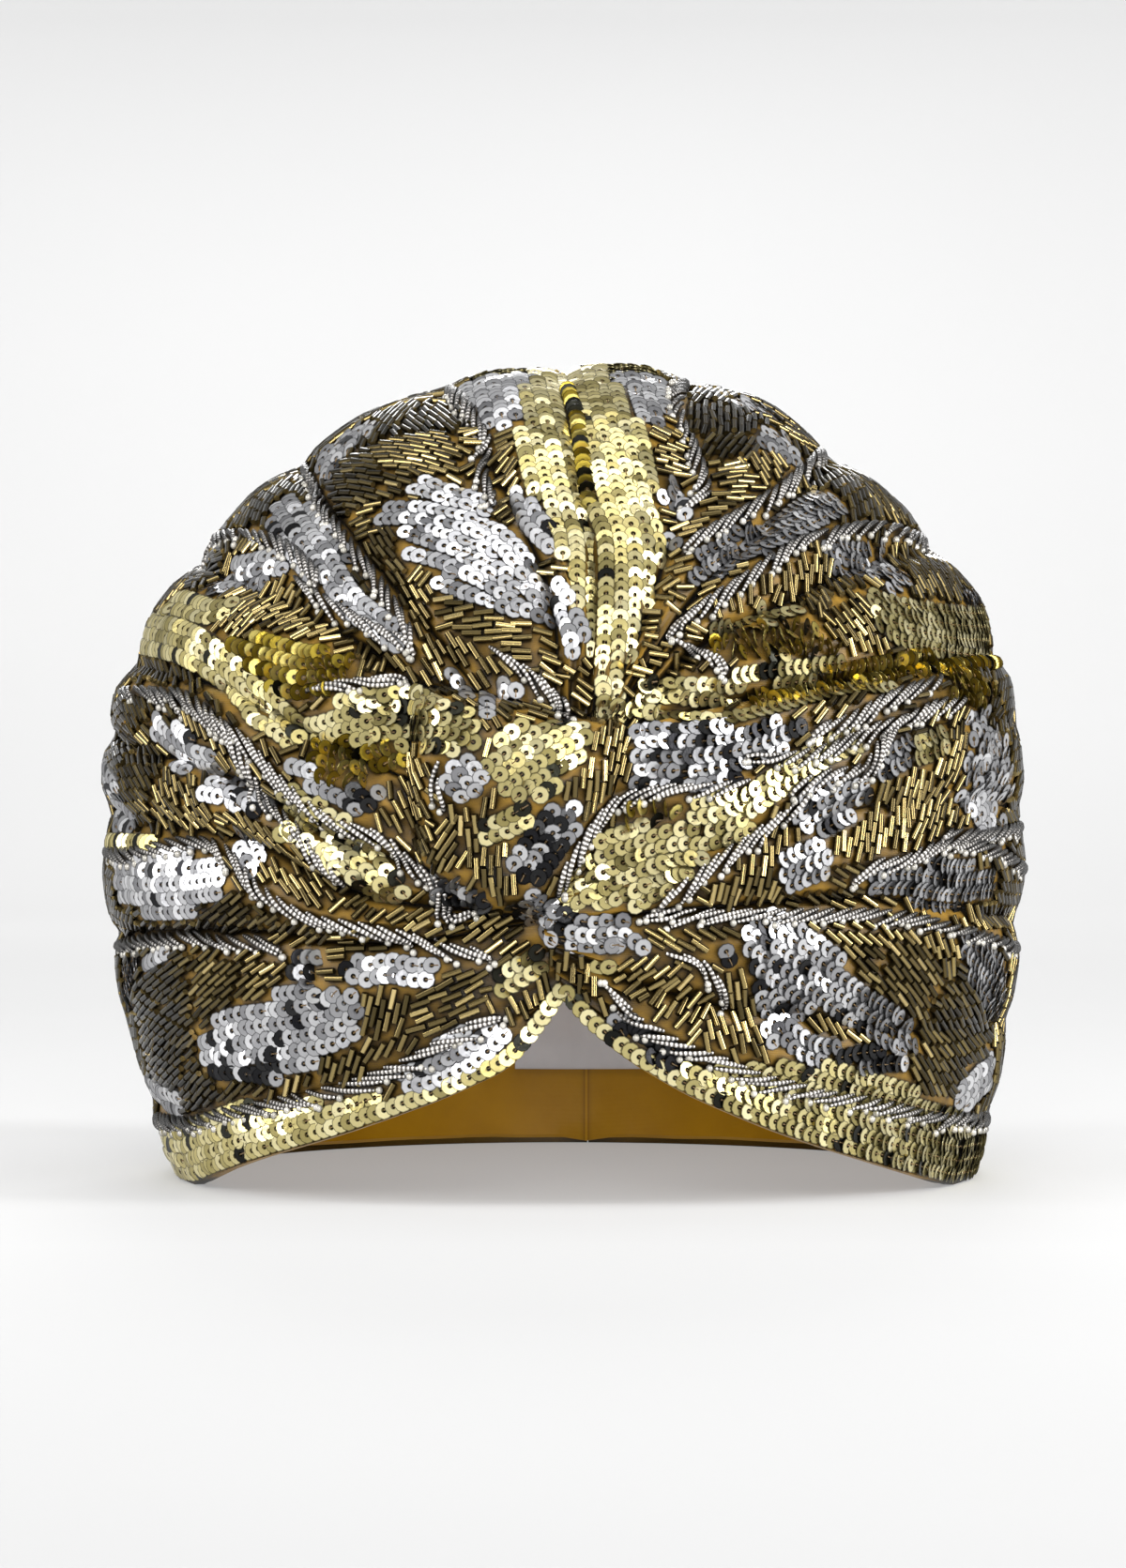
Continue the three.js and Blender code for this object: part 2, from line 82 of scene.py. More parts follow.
# %% Outline of the cap
CENTRE_HEIGHT = 78.3
SECTION_HEIGHT = [0, 12, 25, 37, 54, 75, 92, 105, 117, 130, 147, 164, 174, 180, 182.5]
SECTION_OUT = {
    "left": [87, 91, 95, 98, 102, 103, 103, 101, 97, 90, 75.5, 56, 38, 20, 0],
    "right": [92.5, 95.5, 98, 100, 102.5, 103, 103, 101.5, 98, 92.5, 79, 59.5, 44, 27, 0],
    "front": [101, 101, 101, 101.5, 102, 102, 101.5, 99, 94.5, 87, 73, 54, 37, 20, 0],
    "back": [99, 102, 105, 107, 108.2, 108.8, 108, 106, 102, 95, 80, 59, 40, 21, 0],
}


def unit(vectors):
    """Each vector divided by its length."""
    return vectors / np.linalg.norm(vectors, axis=-1, keepdims=True)


def direction(turn, rise):
    """Unit vector for a turn from the front and a rise, in degrees:
    (sin t cos r, -cos t cos r, sin r)."""
    t, r = np.broadcast_arrays(np.radians(turn), np.radians(rise))
    return np.stack([np.sin(t) * np.cos(r), -np.cos(t) * np.cos(r), np.sin(r)], axis=-1)


def smooth(keys, values, key):
    """Cubic between the rows of a table, whose slope at a row is that between its neighbours."""
    keys = np.asarray(keys, float)
    values = np.asarray(values, float)
    last = len(keys) - 1
    low = np.maximum(np.arange(last + 1) - 1, 0)
    high = np.minimum(np.arange(last + 1) + 1, last)
    slope = (values[high] - values[low]) / (keys[high] - keys[low])
    i = np.clip(np.searchsorted(keys, key) - 1, 0, last - 1)
    width = keys[i + 1] - keys[i]
    t = np.clip((key - keys[i]) / width, 0, 1)
    middle = values[i] + (values[i + 1] - values[i]) * (3 - 2 * t) * t * t
    return middle + t * (1 - t) ** 2 * width * slope[i] - t * t * (1 - t) * width * slope[i + 1]


def outline(way):
    """Distance from the centre to the fullest puffs: side and end reach blended by y^2 / (x^2 + y^2)."""
    rise = np.arcsin(np.clip(way[..., 2], -1, 1))
    up = np.array(SECTION_HEIGHT) - CENTRE_HEIGHT
    reach = {}
    for side, out in SECTION_OUT.items():
        reach[side] = smooth(np.arctan2(up, out), np.hypot(up, out), rise)
    end_share = way[..., 1] ** 2 / np.maximum(way[..., 0] ** 2 + way[..., 1] ** 2, 1e-12)
    beside = np.where(way[..., 0] > 0, reach["right"], reach["left"])
    ahead = np.where(way[..., 1] < 0, reach["front"], reach["back"])
    return beside * (1 - end_share) + ahead * end_share


def place(way, distance):
    """Point in millimetres at a distance from the centre."""
    return way * np.asarray(distance)[..., None] + np.array([0.0, 0.0, CENTRE_HEIGHT])


print("distance to the top:", round(float(outline(direction(0, 90))), 1))

# %% [markdown]
# ## The lower edge
# The edge arches over the brow and stands level from the temples round to the back. Its height
# is known for each turn, but the wall leans, so the rise that reaches this height is found by
# closing in on it: try a rise, read the distance there, and take the rise that fits.

# %% Lower edge
RIM_TURN = [0, 3, 6.5, 11, 17, 29, 44, 58, 68, 120, 190]
RIM_LEFT = [44.5, 37, 30, 25.8, 21.4, 14.4, 7.8, 2.4, 0, 0, 0]
RIM_RIGHT = [44.5, 38.5, 33.3, 28, 22.4, 14.2, 7, 2, 0, 0, 0]
FIRST_RISE = -30.0
CLOSING_STEPS = 40


def rim_height(turn):
    """Height of the lower edge at a turn in degrees, from the table of its side."""
    left = smooth(RIM_TURN, RIM_LEFT, np.abs(turn))
    right = smooth(RIM_TURN, RIM_RIGHT, np.abs(turn))
    return np.where(np.asarray(turn) < 0, left, right)


def way_at_height(turn, height):
    """Direction to a height on the outline: rise = arcsin(drop / outline), until it holds still."""
    turn = np.asarray(turn, float)
    drop = height - CENTRE_HEIGHT
    rise = np.full(turn.shape, FIRST_RISE)
    for _ in range(CLOSING_STEPS):
        rise = np.degrees(np.arcsin(drop / outline(direction(turn, rise))))
    return direction(turn, rise)


def rim_direction(turn):
    """Direction of the lower edge at a turn in degrees."""
    return way_at_height(turn, rim_height(turn))


print("edge over the brow:", float(rim_height(0.0)), "mm up")

# %% [markdown]
# ## Pleats
# Every fold line runs from the knot to the centre-back seam. It is given by six stops, as turn
# and rise seen from the centre, joined by a smooth curve. Between two fold lines the cloth
# stands out in a puff. After the stops come the depths of the fold in millimetres: near the
# knot, at the side and towards the back.

# %% Fold lines
BACK_TURN = 176.5
SPANS = 5
START_DIP = 0.3
CREASES = {
    "leftSeam": ([(-19.6, 7.4), (-33, 12.9), (-53, 19), (-90, 21), (-138, 19), (BACK_TURN, 15)],
        5.5, 3.8, 1.5),
    "leftTemple": ([(-20, 19.5), (-29, 25), (-47, 31), (-90, 36), (-140, 33), (BACK_TURN, 15)],
        4.5, 4, 1.5),
    "leftCrown": ([(-11, 18.6), (-20, 28), (-38, 41.5), (-88, 54), (-148, 46), (BACK_TURN, 15)],
        4.5, 4, 1.5),
    "topLeft": ([(-1, 16), (-1.5, 31), (-11, 50), (-65, 73), (-163, 57), (BACK_TURN, 15)],
        5, 3, 1.5),
    "topSlit": ([(3, 15.6), (4.5, 36), (2.5, 57), (0, 87), (BACK_TURN, 56), (BACK_TURN, 15)],
        3.5, 2.5, 1),
    "topRight": ([(5.2, 15.5), (13, 31), (24, 50), (72, 73), (158, 57), (BACK_TURN, 15)],
        4.5, 3, 1.5),
    "rightCrown": ([(6.9, 15.3), (19, 31), (42, 45), (88, 54), (144, 46), (BACK_TURN, 15)],
        4, 3.5, 1.5),
    "rightTemple": ([(7.9, 14.7), (19, 24.5), (41, 33), (88, 37), (138, 33), (BACK_TURN, 15)],
        5, 4, 1.5),
    "rightSeam": ([(8.4, 13.7), (24, 17.2), (47, 20.3), (88, 21.5), (136, 19), (BACK_TURN, 15)],
        5.5, 3.8, 1.5),
    "rightHigh": ([(5.8, 5.2), (21, 9.5), (45, 13), (88, 13.5), (136, 11), (BACK_TURN, 7)],
        2, 1.5, 1),
    "rightMiddle": ([(2.6, -3), (20, -0.5), (43, 4), (88, 2.5), (136, 0), (BACK_TURN, -2)],
        2.5, 2, 1),
    "rightFold": ([(-2.5, -9.8), (14, -8.4), (43, -7.6), (88, -11.5), (136, -12.5), (BACK_TURN, -13)],
        4.5, 4, 1.2),
    "rightLow": ([(-1.66, -12.5), (17, -19), (42, -22.5), (88, -23.5), (136, -23), (BACK_TURN, -23)],
        3.5, 2, 1),
    "rightHem": ([(-0.3, -16.8), (13, -24.3), (42, -31), (88, -33.5), (136, -32), (BACK_TURN, -31)],
        1.5, 1.8, 1),
    "rightRim": ([0.3, 13, 42, 88, 136, BACK_TURN], 0.4, 0.4, 0.4),
    "leftHigh": ([(-18.2, -3), (-28.5, -0.6), (-47, 7.5), (-90, 12), (-138, 10), (BACK_TURN, 7)],
        5.5, 4, 1.2),
    "leftMiddle": ([(-9.5, -9), (-26, -6.8), (-45, 0), (-90, 2.5), (-138, 0), (BACK_TURN, -2)],
        5.5, 3, 1),
    "leftFold": ([(-2.5, -9.8), (-22, -12.6), (-48, -11.5), (-90, -13), (-138, -13), (BACK_TURN, -13)],
        4.5, 4, 1.2),
    "leftHem": ([(-0.3, -16.8), (-15, -24.3), (-43, -31), (-90, -33.5), (-138, -32), (BACK_TURN, -31)],
        1.5, 1.8, 1),
    "leftRim": ([0.3, -14, -43, -90, -138, BACK_TURN - 360], 0.4, 0.4, 0.4),
}


def curve_through(stops, share):
    """Uniform Catmull-Rom curve: each span is the cubic whose end slopes are half the way between
    the stops on both sides. Beyond the ends the first and last spans are carried on straight."""
    stops = np.asarray(stops, float)
    stops = np.concatenate([2 * stops[:1] - stops[1:2], stops, 2 * stops[-1:] - stops[-2:-1]])
    spans = len(stops) - 3
    span = np.minimum((share * spans).astype(int), spans - 1)
    t = (share * spans - span)[:, None]
    before, start, end, after = (stops[span + k] for k in range(4))
    out, into = (end - before) / 2, (after - start) / 2
    cubic = 2 * start - 2 * end + out + into
    square = 3 * end - 3 * start - 2 * out - into
    return ((cubic * t + square) * t + out) * t + start


def crease_path(name, share):
    """Directions along a fold line. The rim's line is given by turns alone."""
    stops = CREASES[name][0]
    if name.endswith("Rim"):
        return rim_direction(curve_through(np.array(stops)[:, None], share)[:, 0])
    turns, rises = np.array(stops).T
    return unit(curve_through(direction(turns, rises), share))


def crease_dip(name, share):
    """Depth of a fold below its puffs, straight between the stops."""
    near, side, back = CREASES[name][1:]
    at_stops = [START_DIP * near, near, (near + side) / 2, side, (side + back) / 2, 0]
    return np.interp(share * SPANS, np.arange(SPANS + 1), at_stops)


print("fold lines:", len(CREASES))

# %% [markdown]
# ## Panels
# The crown and the two drapes are each a grid of directions and distances: rows go from the knot
# to the back, columns go across the puffs. A puff's section is one minus the distance from its
# middle squared, to the power 0.6, which is round on top and steep at the fold. Small gathers
# next to the knot and slow waves keep the satin from looking moulded. After a panel's fold lines
# stand two lifts in millimetres: at the knot, and one span away from it.

# %% Pleated panels
PANELS = {
    "crown": (["leftSeam", "leftTemple", "leftCrown", "topLeft", "topSlit", "topRight", "rightCrown",
               "rightTemple", "rightSeam"], -2.5, 0),
    "left_drape": (["leftSeam", "leftHigh", "leftMiddle", "leftFold", "leftHem", "leftRim"], -3.5, 0),
    "right_drape": (["rightSeam", "rightHigh", "rightMiddle", "rightFold", "rightLow", "rightHem",
                     "rightRim"], 1.5, 2),
}
PUFF_ROUNDNESS = 0.6
GATHER_DEPTH = 0.9
GATHERS_IN_A_PUFF = 2.5
GATHER_SHIFT = 0.37
GATHER_FADE = 2
GATHER_LEAST = 0.45
KNOT_FADE = 1.1
LIFT_SPANS = [0, 1, 2, SPANS]
LIFT_PUFFS = 3
CALM_PUFFS = 1.2
WAVE_DEPTH = 0.7
ROWS_ALONG = 116
PLACES_ACROSS = 12
LONG_SHARES = np.linspace(0, 1, ROWS_ALONG) ** 1.12
CROSS_SHARES = (1 - np.cos(np.pi * np.arange(PLACES_ACROSS) / PLACES_ACROSS)) / 2


def slow_waves(way):
    """Sum of three sines of the direction, each a few centimetres long, between -1 and 1."""
    x, y, z = way[..., 0], way[..., 1], way[..., 2]
    first = np.sin(9.3 * x + 4.1 * z + 0.7) * np.cos(7.7 * y - 5.2 * z)
    second = np.sin(14.6 * z + 6.4 * y + 2.1) * np.cos(11.9 * x + 1.3)
    third = np.sin(21.0 * x - 17.0 * y + 13.0 * z)
    return 0.5 * first + 0.35 * second + 0.15 * third


def panel_grid(name):
    """Ways and distances of a panel: outline + lift - dip * (1 - full) + gathers + waves."""
    creases, lift_knot, lift_near = PANELS[name]
    last = len(creases) - 1
    paths = np.stack([crease_path(crease, LONG_SHARES) for crease in creases])
    dips = np.stack([crease_dip(crease, LONG_SHARES) for crease in creases])
    columns = np.concatenate([(np.arange(last)[:, None] + CROSS_SHARES).ravel(), [last]])
    puff = columns.astype(int)
    t = (columns - puff)[:, None]
    after = np.minimum(puff + 1, last)
    way = unit(paths[puff] * (1 - t[..., None]) + paths[after] * t[..., None])
    full = (1 - (2 * t - 1) ** 2) ** PUFF_ROUNDNESS
    dip = dips[puff] * (1 - t) + dips[after] * t
    lift = np.interp(LONG_SHARES * SPANS, LIFT_SPANS, [lift_knot, lift_near, 0, 0])[None, :]
    above_rim, calm = np.ones_like(t), np.ones_like(t)
    if name != "crown":
        above_rim = np.minimum(1, (last - columns) / LIFT_PUFFS)[:, None]
        calm = np.minimum(1, (last - columns) / CALM_PUFFS)[:, None]
    near_knot = np.exp(-LONG_SHARES * SPANS / KNOT_FADE)[None, :]
    ripple = np.cos(2 * np.pi * (GATHERS_IN_A_PUFF * t + GATHER_SHIFT * puff[:, None]))
    ripple = ripple * np.exp(-LONG_SHARES * GATHER_FADE)[None, :]
    gathers = GATHER_DEPTH * full * calm * ripple * (GATHER_LEAST + near_knot)
    distance = outline(way) + lift * above_rim - dip * (1 - full)
    distance = distance + gathers + WAVE_DEPTH * calm * slow_waves(way)
    return way.swapaxes(0, 1), distance.swapaxes(0, 1)


GRIDS = {name: panel_grid(name) for name in PANELS}
print("grid sizes:", {name: grid[1].shape for name, grid in GRIDS.items()})

# %% [markdown]
# ## Closed walls
# Cloth has two faces and an edge. Each panel becomes one closed wall: an outer grid, an inner
# grid a little nearer the centre, and strips that join them round the border. The borders are
# drawn back from the seams by a hair, so that neighbouring pieces never touch. Points that fall
# together, as at the centre back of the crown, are merged.

# %% Seams
WALL = 2.6
RIM_WALL = 0.85
SEAM_GAP = 0.3
FLAT_RIM = 0.05
BACK_HUB = direction(BACK_TURN, 15.4)


def pull(way, along, inside, distance):
    """Moves edge directions square to the edge and towards the inside of the piece."""
    square = unit(np.cross(along, way))
    toward = np.sum(square * (inside - way), axis=-1, keepdims=True)
    square = square * np.where(toward < 0, -1, 1)
    return unit(way + square * (distance / outline(way))[..., None])


def open_seams(way, closed_back):
    """Draws the four borders of a panel back from their seams by half the gap."""
    half = SEAM_GAP / 2
    along = np.gradient(way, axis=0)
    across = np.gradient(way, axis=1)
    drawn = way.copy()
    for column, inner in ((0, 1), (-1, -2)):
        drawn[:, column] = pull(way[:, column], along[:, column], way[:, inner], half)
    for row, inner in ((0, 1), (-1, -2)):
        drawn[row] = pull(drawn[row], across[row], way[inner], half)
    if closed_back:
        drawn[-1] = BACK_HUB
    return drawn


print("gap between two pieces:", SEAM_GAP, "mm")

# %% Closed walls
SAME_POINT = 0.004
NARROW_EDGE = 0.002


def wall_faces(rows, columns, wrap):
    """Quads of an outer and an inner grid and of the strips between their borders."""
    out = np.arange(rows * columns).reshape(rows, columns)
    if wrap:
        out = np.concatenate([out, out[:, :1]], axis=1)
    back = out + rows * columns
    quads = [
        np.stack([out[:-1, :-1], out[1:, :-1], out[1:, 1:], out[:-1, 1:]], -1),
        np.stack([back[:-1, :-1], back[:-1, 1:], back[1:, 1:], back[1:, :-1]], -1),
        np.stack([out[0, :-1], out[0, 1:], back[0, 1:], back[0, :-1]], -1),
        np.stack([out[-1, :-1], back[-1, :-1], back[-1, 1:], out[-1, 1:]], -1),
    ]
    if not wrap:
        quads.append(np.stack([out[:-1, 0], back[:-1, 0], back[1:, 0], out[1:, 0]], -1))
        quads.append(np.stack([out[:-1, -1], out[1:, -1], back[1:, -1], back[:-1, -1]], -1))
    return np.concatenate([quad.reshape(-1, 4) for quad in quads])


def shade_smooth(mesh, sharp_angle):
    """Smooth shading that breaks where faces meet at more than the sharp angle."""
    mesh.polygons.foreach_set("use_smooth", np.ones(len(mesh.polygons), bool))
    mesh.set_sharp_from_angle(angle=np.radians(sharp_angle))


def new_piece(name, points, faces, sharp_angle):
    """Smooth mesh object from points in millimetres and a list of faces."""
    mesh = bpy.data.meshes.new(name)
    mesh.from_pydata(points.reshape(-1, 3) * MM, [], faces)
    shade_smooth(mesh, sharp_angle)
    piece = bpy.data.objects.new(name, mesh)
    scene.collection.objects.link(piece)
    return piece


def closed_wall(name, outer, inner, wrap=False, sharp_angle=62):
    """Closed wall between two grids, with doubles merged and faces pointing outwards."""
    faces = wall_faces(outer.shape[0], outer.shape[1], wrap).tolist()
    piece = new_piece(name, np.stack([outer, inner]), faces, sharp_angle)
    work = bmesh.new()
    work.from_mesh(piece.data)
    bmesh.ops.remove_doubles(work, verts=work.verts, dist=SAME_POINT * MM)
    bmesh.ops.dissolve_degenerate(work, edges=work.edges, dist=NARROW_EDGE * MM)
    bmesh.ops.recalc_face_normals(work, faces=work.faces)
    work.to_mesh(piece.data)
    work.free()
    shade_smooth(piece.data, sharp_angle)
    return piece


def half_surface(piece):
    """Half the surface of a closed wall in square metres, which is the area of its cloth."""
    areas = np.zeros(len(piece.data.polygons))
    piece.data.polygons.foreach_get("area", areas)
    return float(areas.sum() / 2)


print("quads of a wall of 3 by 3 points:", len(wall_faces(3, 3, False)))

# %% Walls of the panels


def panel_wall(name):
    """Outer and inner points of a panel. Its lower edge is a flat band, level with the surface."""
    way, distance = GRIDS[name]
    way = open_seams(way, name == "crown")
    if name == "crown":
        distance = distance.copy()
        distance[-1] = outline(BACK_HUB)
    outer = place(way, distance)
    inner = place(way, distance - WALL)
    if name != "crown":
        edge = outer[:, -1]
        turn = np.degrees(np.arctan2(edge[:, 0], -edge[:, 1]))
        edge[:, 2] = np.where(rim_height(turn) < FLAT_RIM, 0, edge[:, 2])
        flat = np.hypot(edge[:, 0], edge[:, 1])
        inner[:, -1] = edge * ((flat - WALL * RIM_WALL) / flat)[:, None]
        inner[:, -1, 2] = edge[:, 2]
    return outer, inner


WALLS = {name: panel_wall(name) for name in PANELS}
cloth = {name: closed_wall(name + "_cloth", *WALLS[name]) for name in PANELS}
for name, piece in cloth.items():
    print(name, len(piece.data.polygons), "faces,", round(half_surface(piece), 4), "m2 of cloth")

# %% [markdown]
# ## The knot
# Where the drapes cross, the cloth rises in a rounded patch. Its border follows the crown's front
# edge, runs down the right drape and comes back up along the left one. Rings shrink from that
# border to the middle, and each ring lies higher by one minus the ring to the fifth power. A
# groove from its left side is the fold where it is turned under, and small slanting folds cross
# the middle.

# %% Knot
KNOT_MIDDLE = direction(-6.5, 4.5)
KNOT_CREST = 7.0
KNOT_TUCK = -3.5
KNOT_RUN = 1.5
KNOT_SHOULDER = 5
KNOT_RINGS = np.sin(np.linspace(1, 0, 22) * np.pi / 2)
KNOT_RIGHTWARD = (0.02, 0.16)
KNOT_UPWARD = (0.14, 0.25)
KNOT_FOLD_DEPTH = 0.7
KNOT_FOLD_RATE = 70
KNOT_FOLD_SLANT = 0.45
GROOVE = {"from": direction(-19, 2.5), "to": direction(-6, -1.5), "reach": 4.0, "depth": 3.5}
GROOVE_AT_EDGE = 0.4
PUFFS_TO_HUB = 3


def smoothstep(value, low, high):
    """3 t^2 - 2 t^3 between low and high."""
    t = np.clip((value - low) / (high - low), 0, 1)
    return t * t * (3 - 2 * t)


def knot_loop():
    """Border of the knot as directions, once round."""
    count = PUFFS_TO_HUB * PLACES_ACROSS
    crown_edge = GRIDS["crown"][0][0]
    right_edge = GRIDS["right_drape"][0][0][1:count + 1]
    left_edge = GRIDS["left_drape"][0][0][1:count][::-1]
    return np.concatenate([crown_edge, right_edge, left_edge])


def knot_distance(way, ring, edge_lift):
    """Outline + lift towards the crest - groove, which fades as a bell curve with the distance."""
    rounded = 1 - ring ** KNOT_SHOULDER
    line = GROOVE["to"] - GROOVE["from"]
    share = np.clip(np.sum((way - GROOVE["from"]) * line, axis=-1) / np.sum(line * line), 0, 1)
    closest = GROOVE["from"] + share[..., None] * line
    away = np.degrees(np.linalg.norm(way - closest, axis=-1)) / GROOVE["reach"]
    groove = GROOVE["depth"] * np.exp(-away * away)
    groove = groove * (GROOVE_AT_EDGE + (1 - GROOVE_AT_EDGE) * rounded)
    return outline(way) + edge_lift + (KNOT_CREST - edge_lift) * rounded - groove


def knot_wall():
    """Outer and inner rings of the knot."""
    loop = knot_loop()
    along = np.roll(loop, -1, axis=0) - np.roll(loop, 1, axis=0)
    drawn = pull(loop, along, KNOT_MIDDLE, SEAM_GAP / 2)
    toward_right = smoothstep(drawn[:, 0] - KNOT_MIDDLE[0], *KNOT_RIGHTWARD)
    below_top = 1 - smoothstep(drawn[:, 2], *KNOT_UPWARD)
    edge_lift = KNOT_TUCK + (KNOT_RUN - KNOT_TUCK) * toward_right * below_top
    ring = KNOT_RINGS[:, None]
    way = unit(KNOT_MIDDLE + (drawn - KNOT_MIDDLE) * ring[..., None])
    distance = knot_distance(way, ring, edge_lift)
    folds = np.sin(KNOT_FOLD_RATE * (way[..., 2] - KNOT_FOLD_SLANT * way[..., 0])) * (1 - ring ** 4)
    distance = distance + KNOT_FOLD_DEPTH * folds
    return place(way, distance), place(way, distance - WALL)


WALLS["twist_knot"] = knot_wall()
cloth["twist_knot"] = closed_wall("twist_knot_cloth", *WALLS["twist_knot"], wrap=True)
print("knot", round(half_surface(cloth["twist_knot"]), 4), "m2 of cloth")

# %% [markdown]
# ## Lining and label
# The lining is a plain satin cap inside the pleats, seamed at the centre back. It is measured
# inward from the same outline, close to the wall at the edge and clear of the folds higher up.
# Small puckers hang from the edge, where the satin is eased in. The label is a bare woven tab.

# %% Lining
LINING_WALL = 1.2
LINING_INSET_EDGE = 4.3
LINING_INSET_INSIDE = 11.5
LINING_SETTLE = 20.0
LINING_DROP = 0.8
LINING_CROWDING = 1.35
LINING_COLUMNS = 144
LINING_ROWS = 44
PUCKER_DEPTH = 0.55
SEAM_PINCH = 1.3
SEAM_WIDTH = 0.75
SEAM_DEPTH = 0.9
BESIDE_SEAM_WIDTH = 4.0
BESIDE_SEAM_DEPTH = 0.5
BESIDE_SEAM_RATE = 55


def lining_distance(way, edge_height):
    """Outline less an inset that grows from the edge over the first centimetres."""
    height = outline(way) * way[..., 2] + CENTRE_HEIGHT
    settled = smoothstep(height - edge_height, 0, LINING_SETTLE)
    return outline(way) - LINING_INSET_EDGE - (LINING_INSET_INSIDE - LINING_INSET_EDGE) * settled


def lining_folds(way, down):
    """Inward puckers: ripples round the edge that fade upward, and the pinch of the back seam."""
    turn = np.degrees(np.arctan2(way[..., 0], -way[..., 1])) % 360
    ripple = np.sin(turn * 0.31 + 2.2 * np.sin(turn * 0.07)) * np.sin(turn * 0.118 + 1.3)
    puckers = PUCKER_DEPTH * (0.5 + 0.5 * ripple) * smoothstep(down, 0.35, 0.85)
    seam = SEAM_PINCH * np.exp(-((turn - BACK_TURN) / SEAM_WIDTH) ** 2)
    beside = BESIDE_SEAM_DEPTH * np.exp(-((turn - BACK_TURN) / BESIDE_SEAM_WIDTH) ** 2)
    beside = beside * np.sin(down * BESIDE_SEAM_RATE)
    return puckers + beside * smoothstep(down, 0.3, 0.6) - SEAM_DEPTH * seam


def lining_wall():
    """Outer and inner grid of the lining, from the top down to the edge."""
    half = 2 * np.arange(LINING_COLUMNS) / LINING_COLUMNS - 1
    turn = np.sign(half) * 180 * np.abs(half) ** LINING_CROWDING
    edge_rise = np.degrees(np.arcsin(rim_direction(turn)[:, 2])) - LINING_DROP
    down = (np.arange(LINING_ROWS + 1) / LINING_ROWS)[:, None]
    rise = 90 + (edge_rise - 90) * down
    way = direction(turn[None, :], rise)
    distance = lining_distance(way, rim_height(turn)[None, :]) - lining_folds(way, down)
    return place(way, distance), place(way, distance - LINING_WALL)


lining = closed_wall("satin_lining", *lining_wall(), wrap=True)
print("lining", round(half_surface(lining), 4), "m2")

# %% Label
LABEL_WALL = 0.6
LABEL_WIDTH = 37.0
LABEL_HEIGHT = 30.0
LABEL_LOW = 13.4
LABEL_BEHIND = 1.8
LABEL_BOW = 0.5
LABEL_GRID = (18, 26)


def label_wall():
    """Outer and inner grid of the tab, bent round the back of the lining."""
    rows, columns = (np.linspace(0, 1, count) for count in LABEL_GRID)
    up, side = np.meshgrid(rows, columns - 0.5, indexing="ij")
    height = LABEL_LOW + LABEL_HEIGHT * up
    back = SECTION_OUT["back"][0]
    turn = BACK_TURN - np.degrees(LABEL_WIDTH * side / back)
    way = direction(turn, np.degrees(np.arctan2(height - CENTRE_HEIGHT, back)))
    bow = LABEL_BOW * np.cos(np.pi * side) * np.sin(np.pi * up)
    face = lining_distance(way, 0.0) - LINING_WALL - LABEL_BEHIND - bow
    return place(way, face), place(way, face - LABEL_WALL)


label = closed_wall("woven_label", *label_wall())
print("label", round(half_surface(label), 5), "m2")

# %% [markdown]
# ## Cloth materials
# Satin is bright along its threads and soft across them: a fairly low roughness, very little
# sheen, and a fine weave in the bump. Slow noise shifts its colour between darker and lighter
# patches. Between the beads the ground is in deep shade, so painted shade also darkens it where
# something lies close above it. These materials are built from nodes, so three helpers come first.

# %% Helpers for nodes


def new_material(name):
    """Material with nodes, as the material, its node tree and its main shader."""
    material = bpy.data.materials.new(name)
    material.use_nodes = True
    shader = material.node_tree.nodes["Principled BSDF"]
    return material, material.node_tree, shader


def node(tree, kind, **values):
    """New node with its properties and its sockets' values set by name."""
    made = tree.nodes.new(kind)
    for key, value in values.items():
        if key in made.inputs:
            made.inputs[key].default_value = value
        else:
            setattr(made, key, value)
    return made


def colour_ramp(tree, source, stops):
    """Colour ramp through (position, colour) stops, fed by a socket."""
    ramp = tree.nodes.new("ShaderNodeValToRGB")
    elements = ramp.color_ramp.elements
    while len(elements) < len(stops):
        elements.new(0.5)
    for element, (position, colour) in zip(elements, stops):
        element.position = position
        element.color = (*colour, 1.0)
    tree.links.new(source, ramp.inputs["Fac"])
    return ramp.outputs["Color"]


def greys(stops):
    """Stops of a colour ramp from stops of position and grey."""
    return [(at, (grey,) * 3) for at, grey in stops]


def darkened(tree, colour, amount, stops):
    """Colour times a grey that is read from an amount by stops of position and grey."""
    shade = colour_ramp(tree, amount, greys(stops))
    mixer = node(tree, "ShaderNodeHueSaturation")
    tree.links.new(colour, mixer.inputs["Color"])
    tree.links.new(shade, mixer.inputs["Value"])
    return mixer.outputs["Color"]


print("node helpers ready")

# %% Satin
# Painted shade on the satin close to the beads, and painted shade beside the lining's seam.
PAINTED_SHADE_REACH = 3.0
PAINTED_SHADE_NEAR_BEADS = [(0.0, 0.01), (0.4, 0.07), (0.75, 0.5), (1.0, 1.0)]
SEAM_PLACE = 5.6
SEAM_REACH = 4.0
SEAM_LINE_AND_PAINTED_SHADE = [(0.0, 1.15), (0.06, 1.15), (0.1, 0.55), (0.2, 0.85), (0.4, 1.0)]


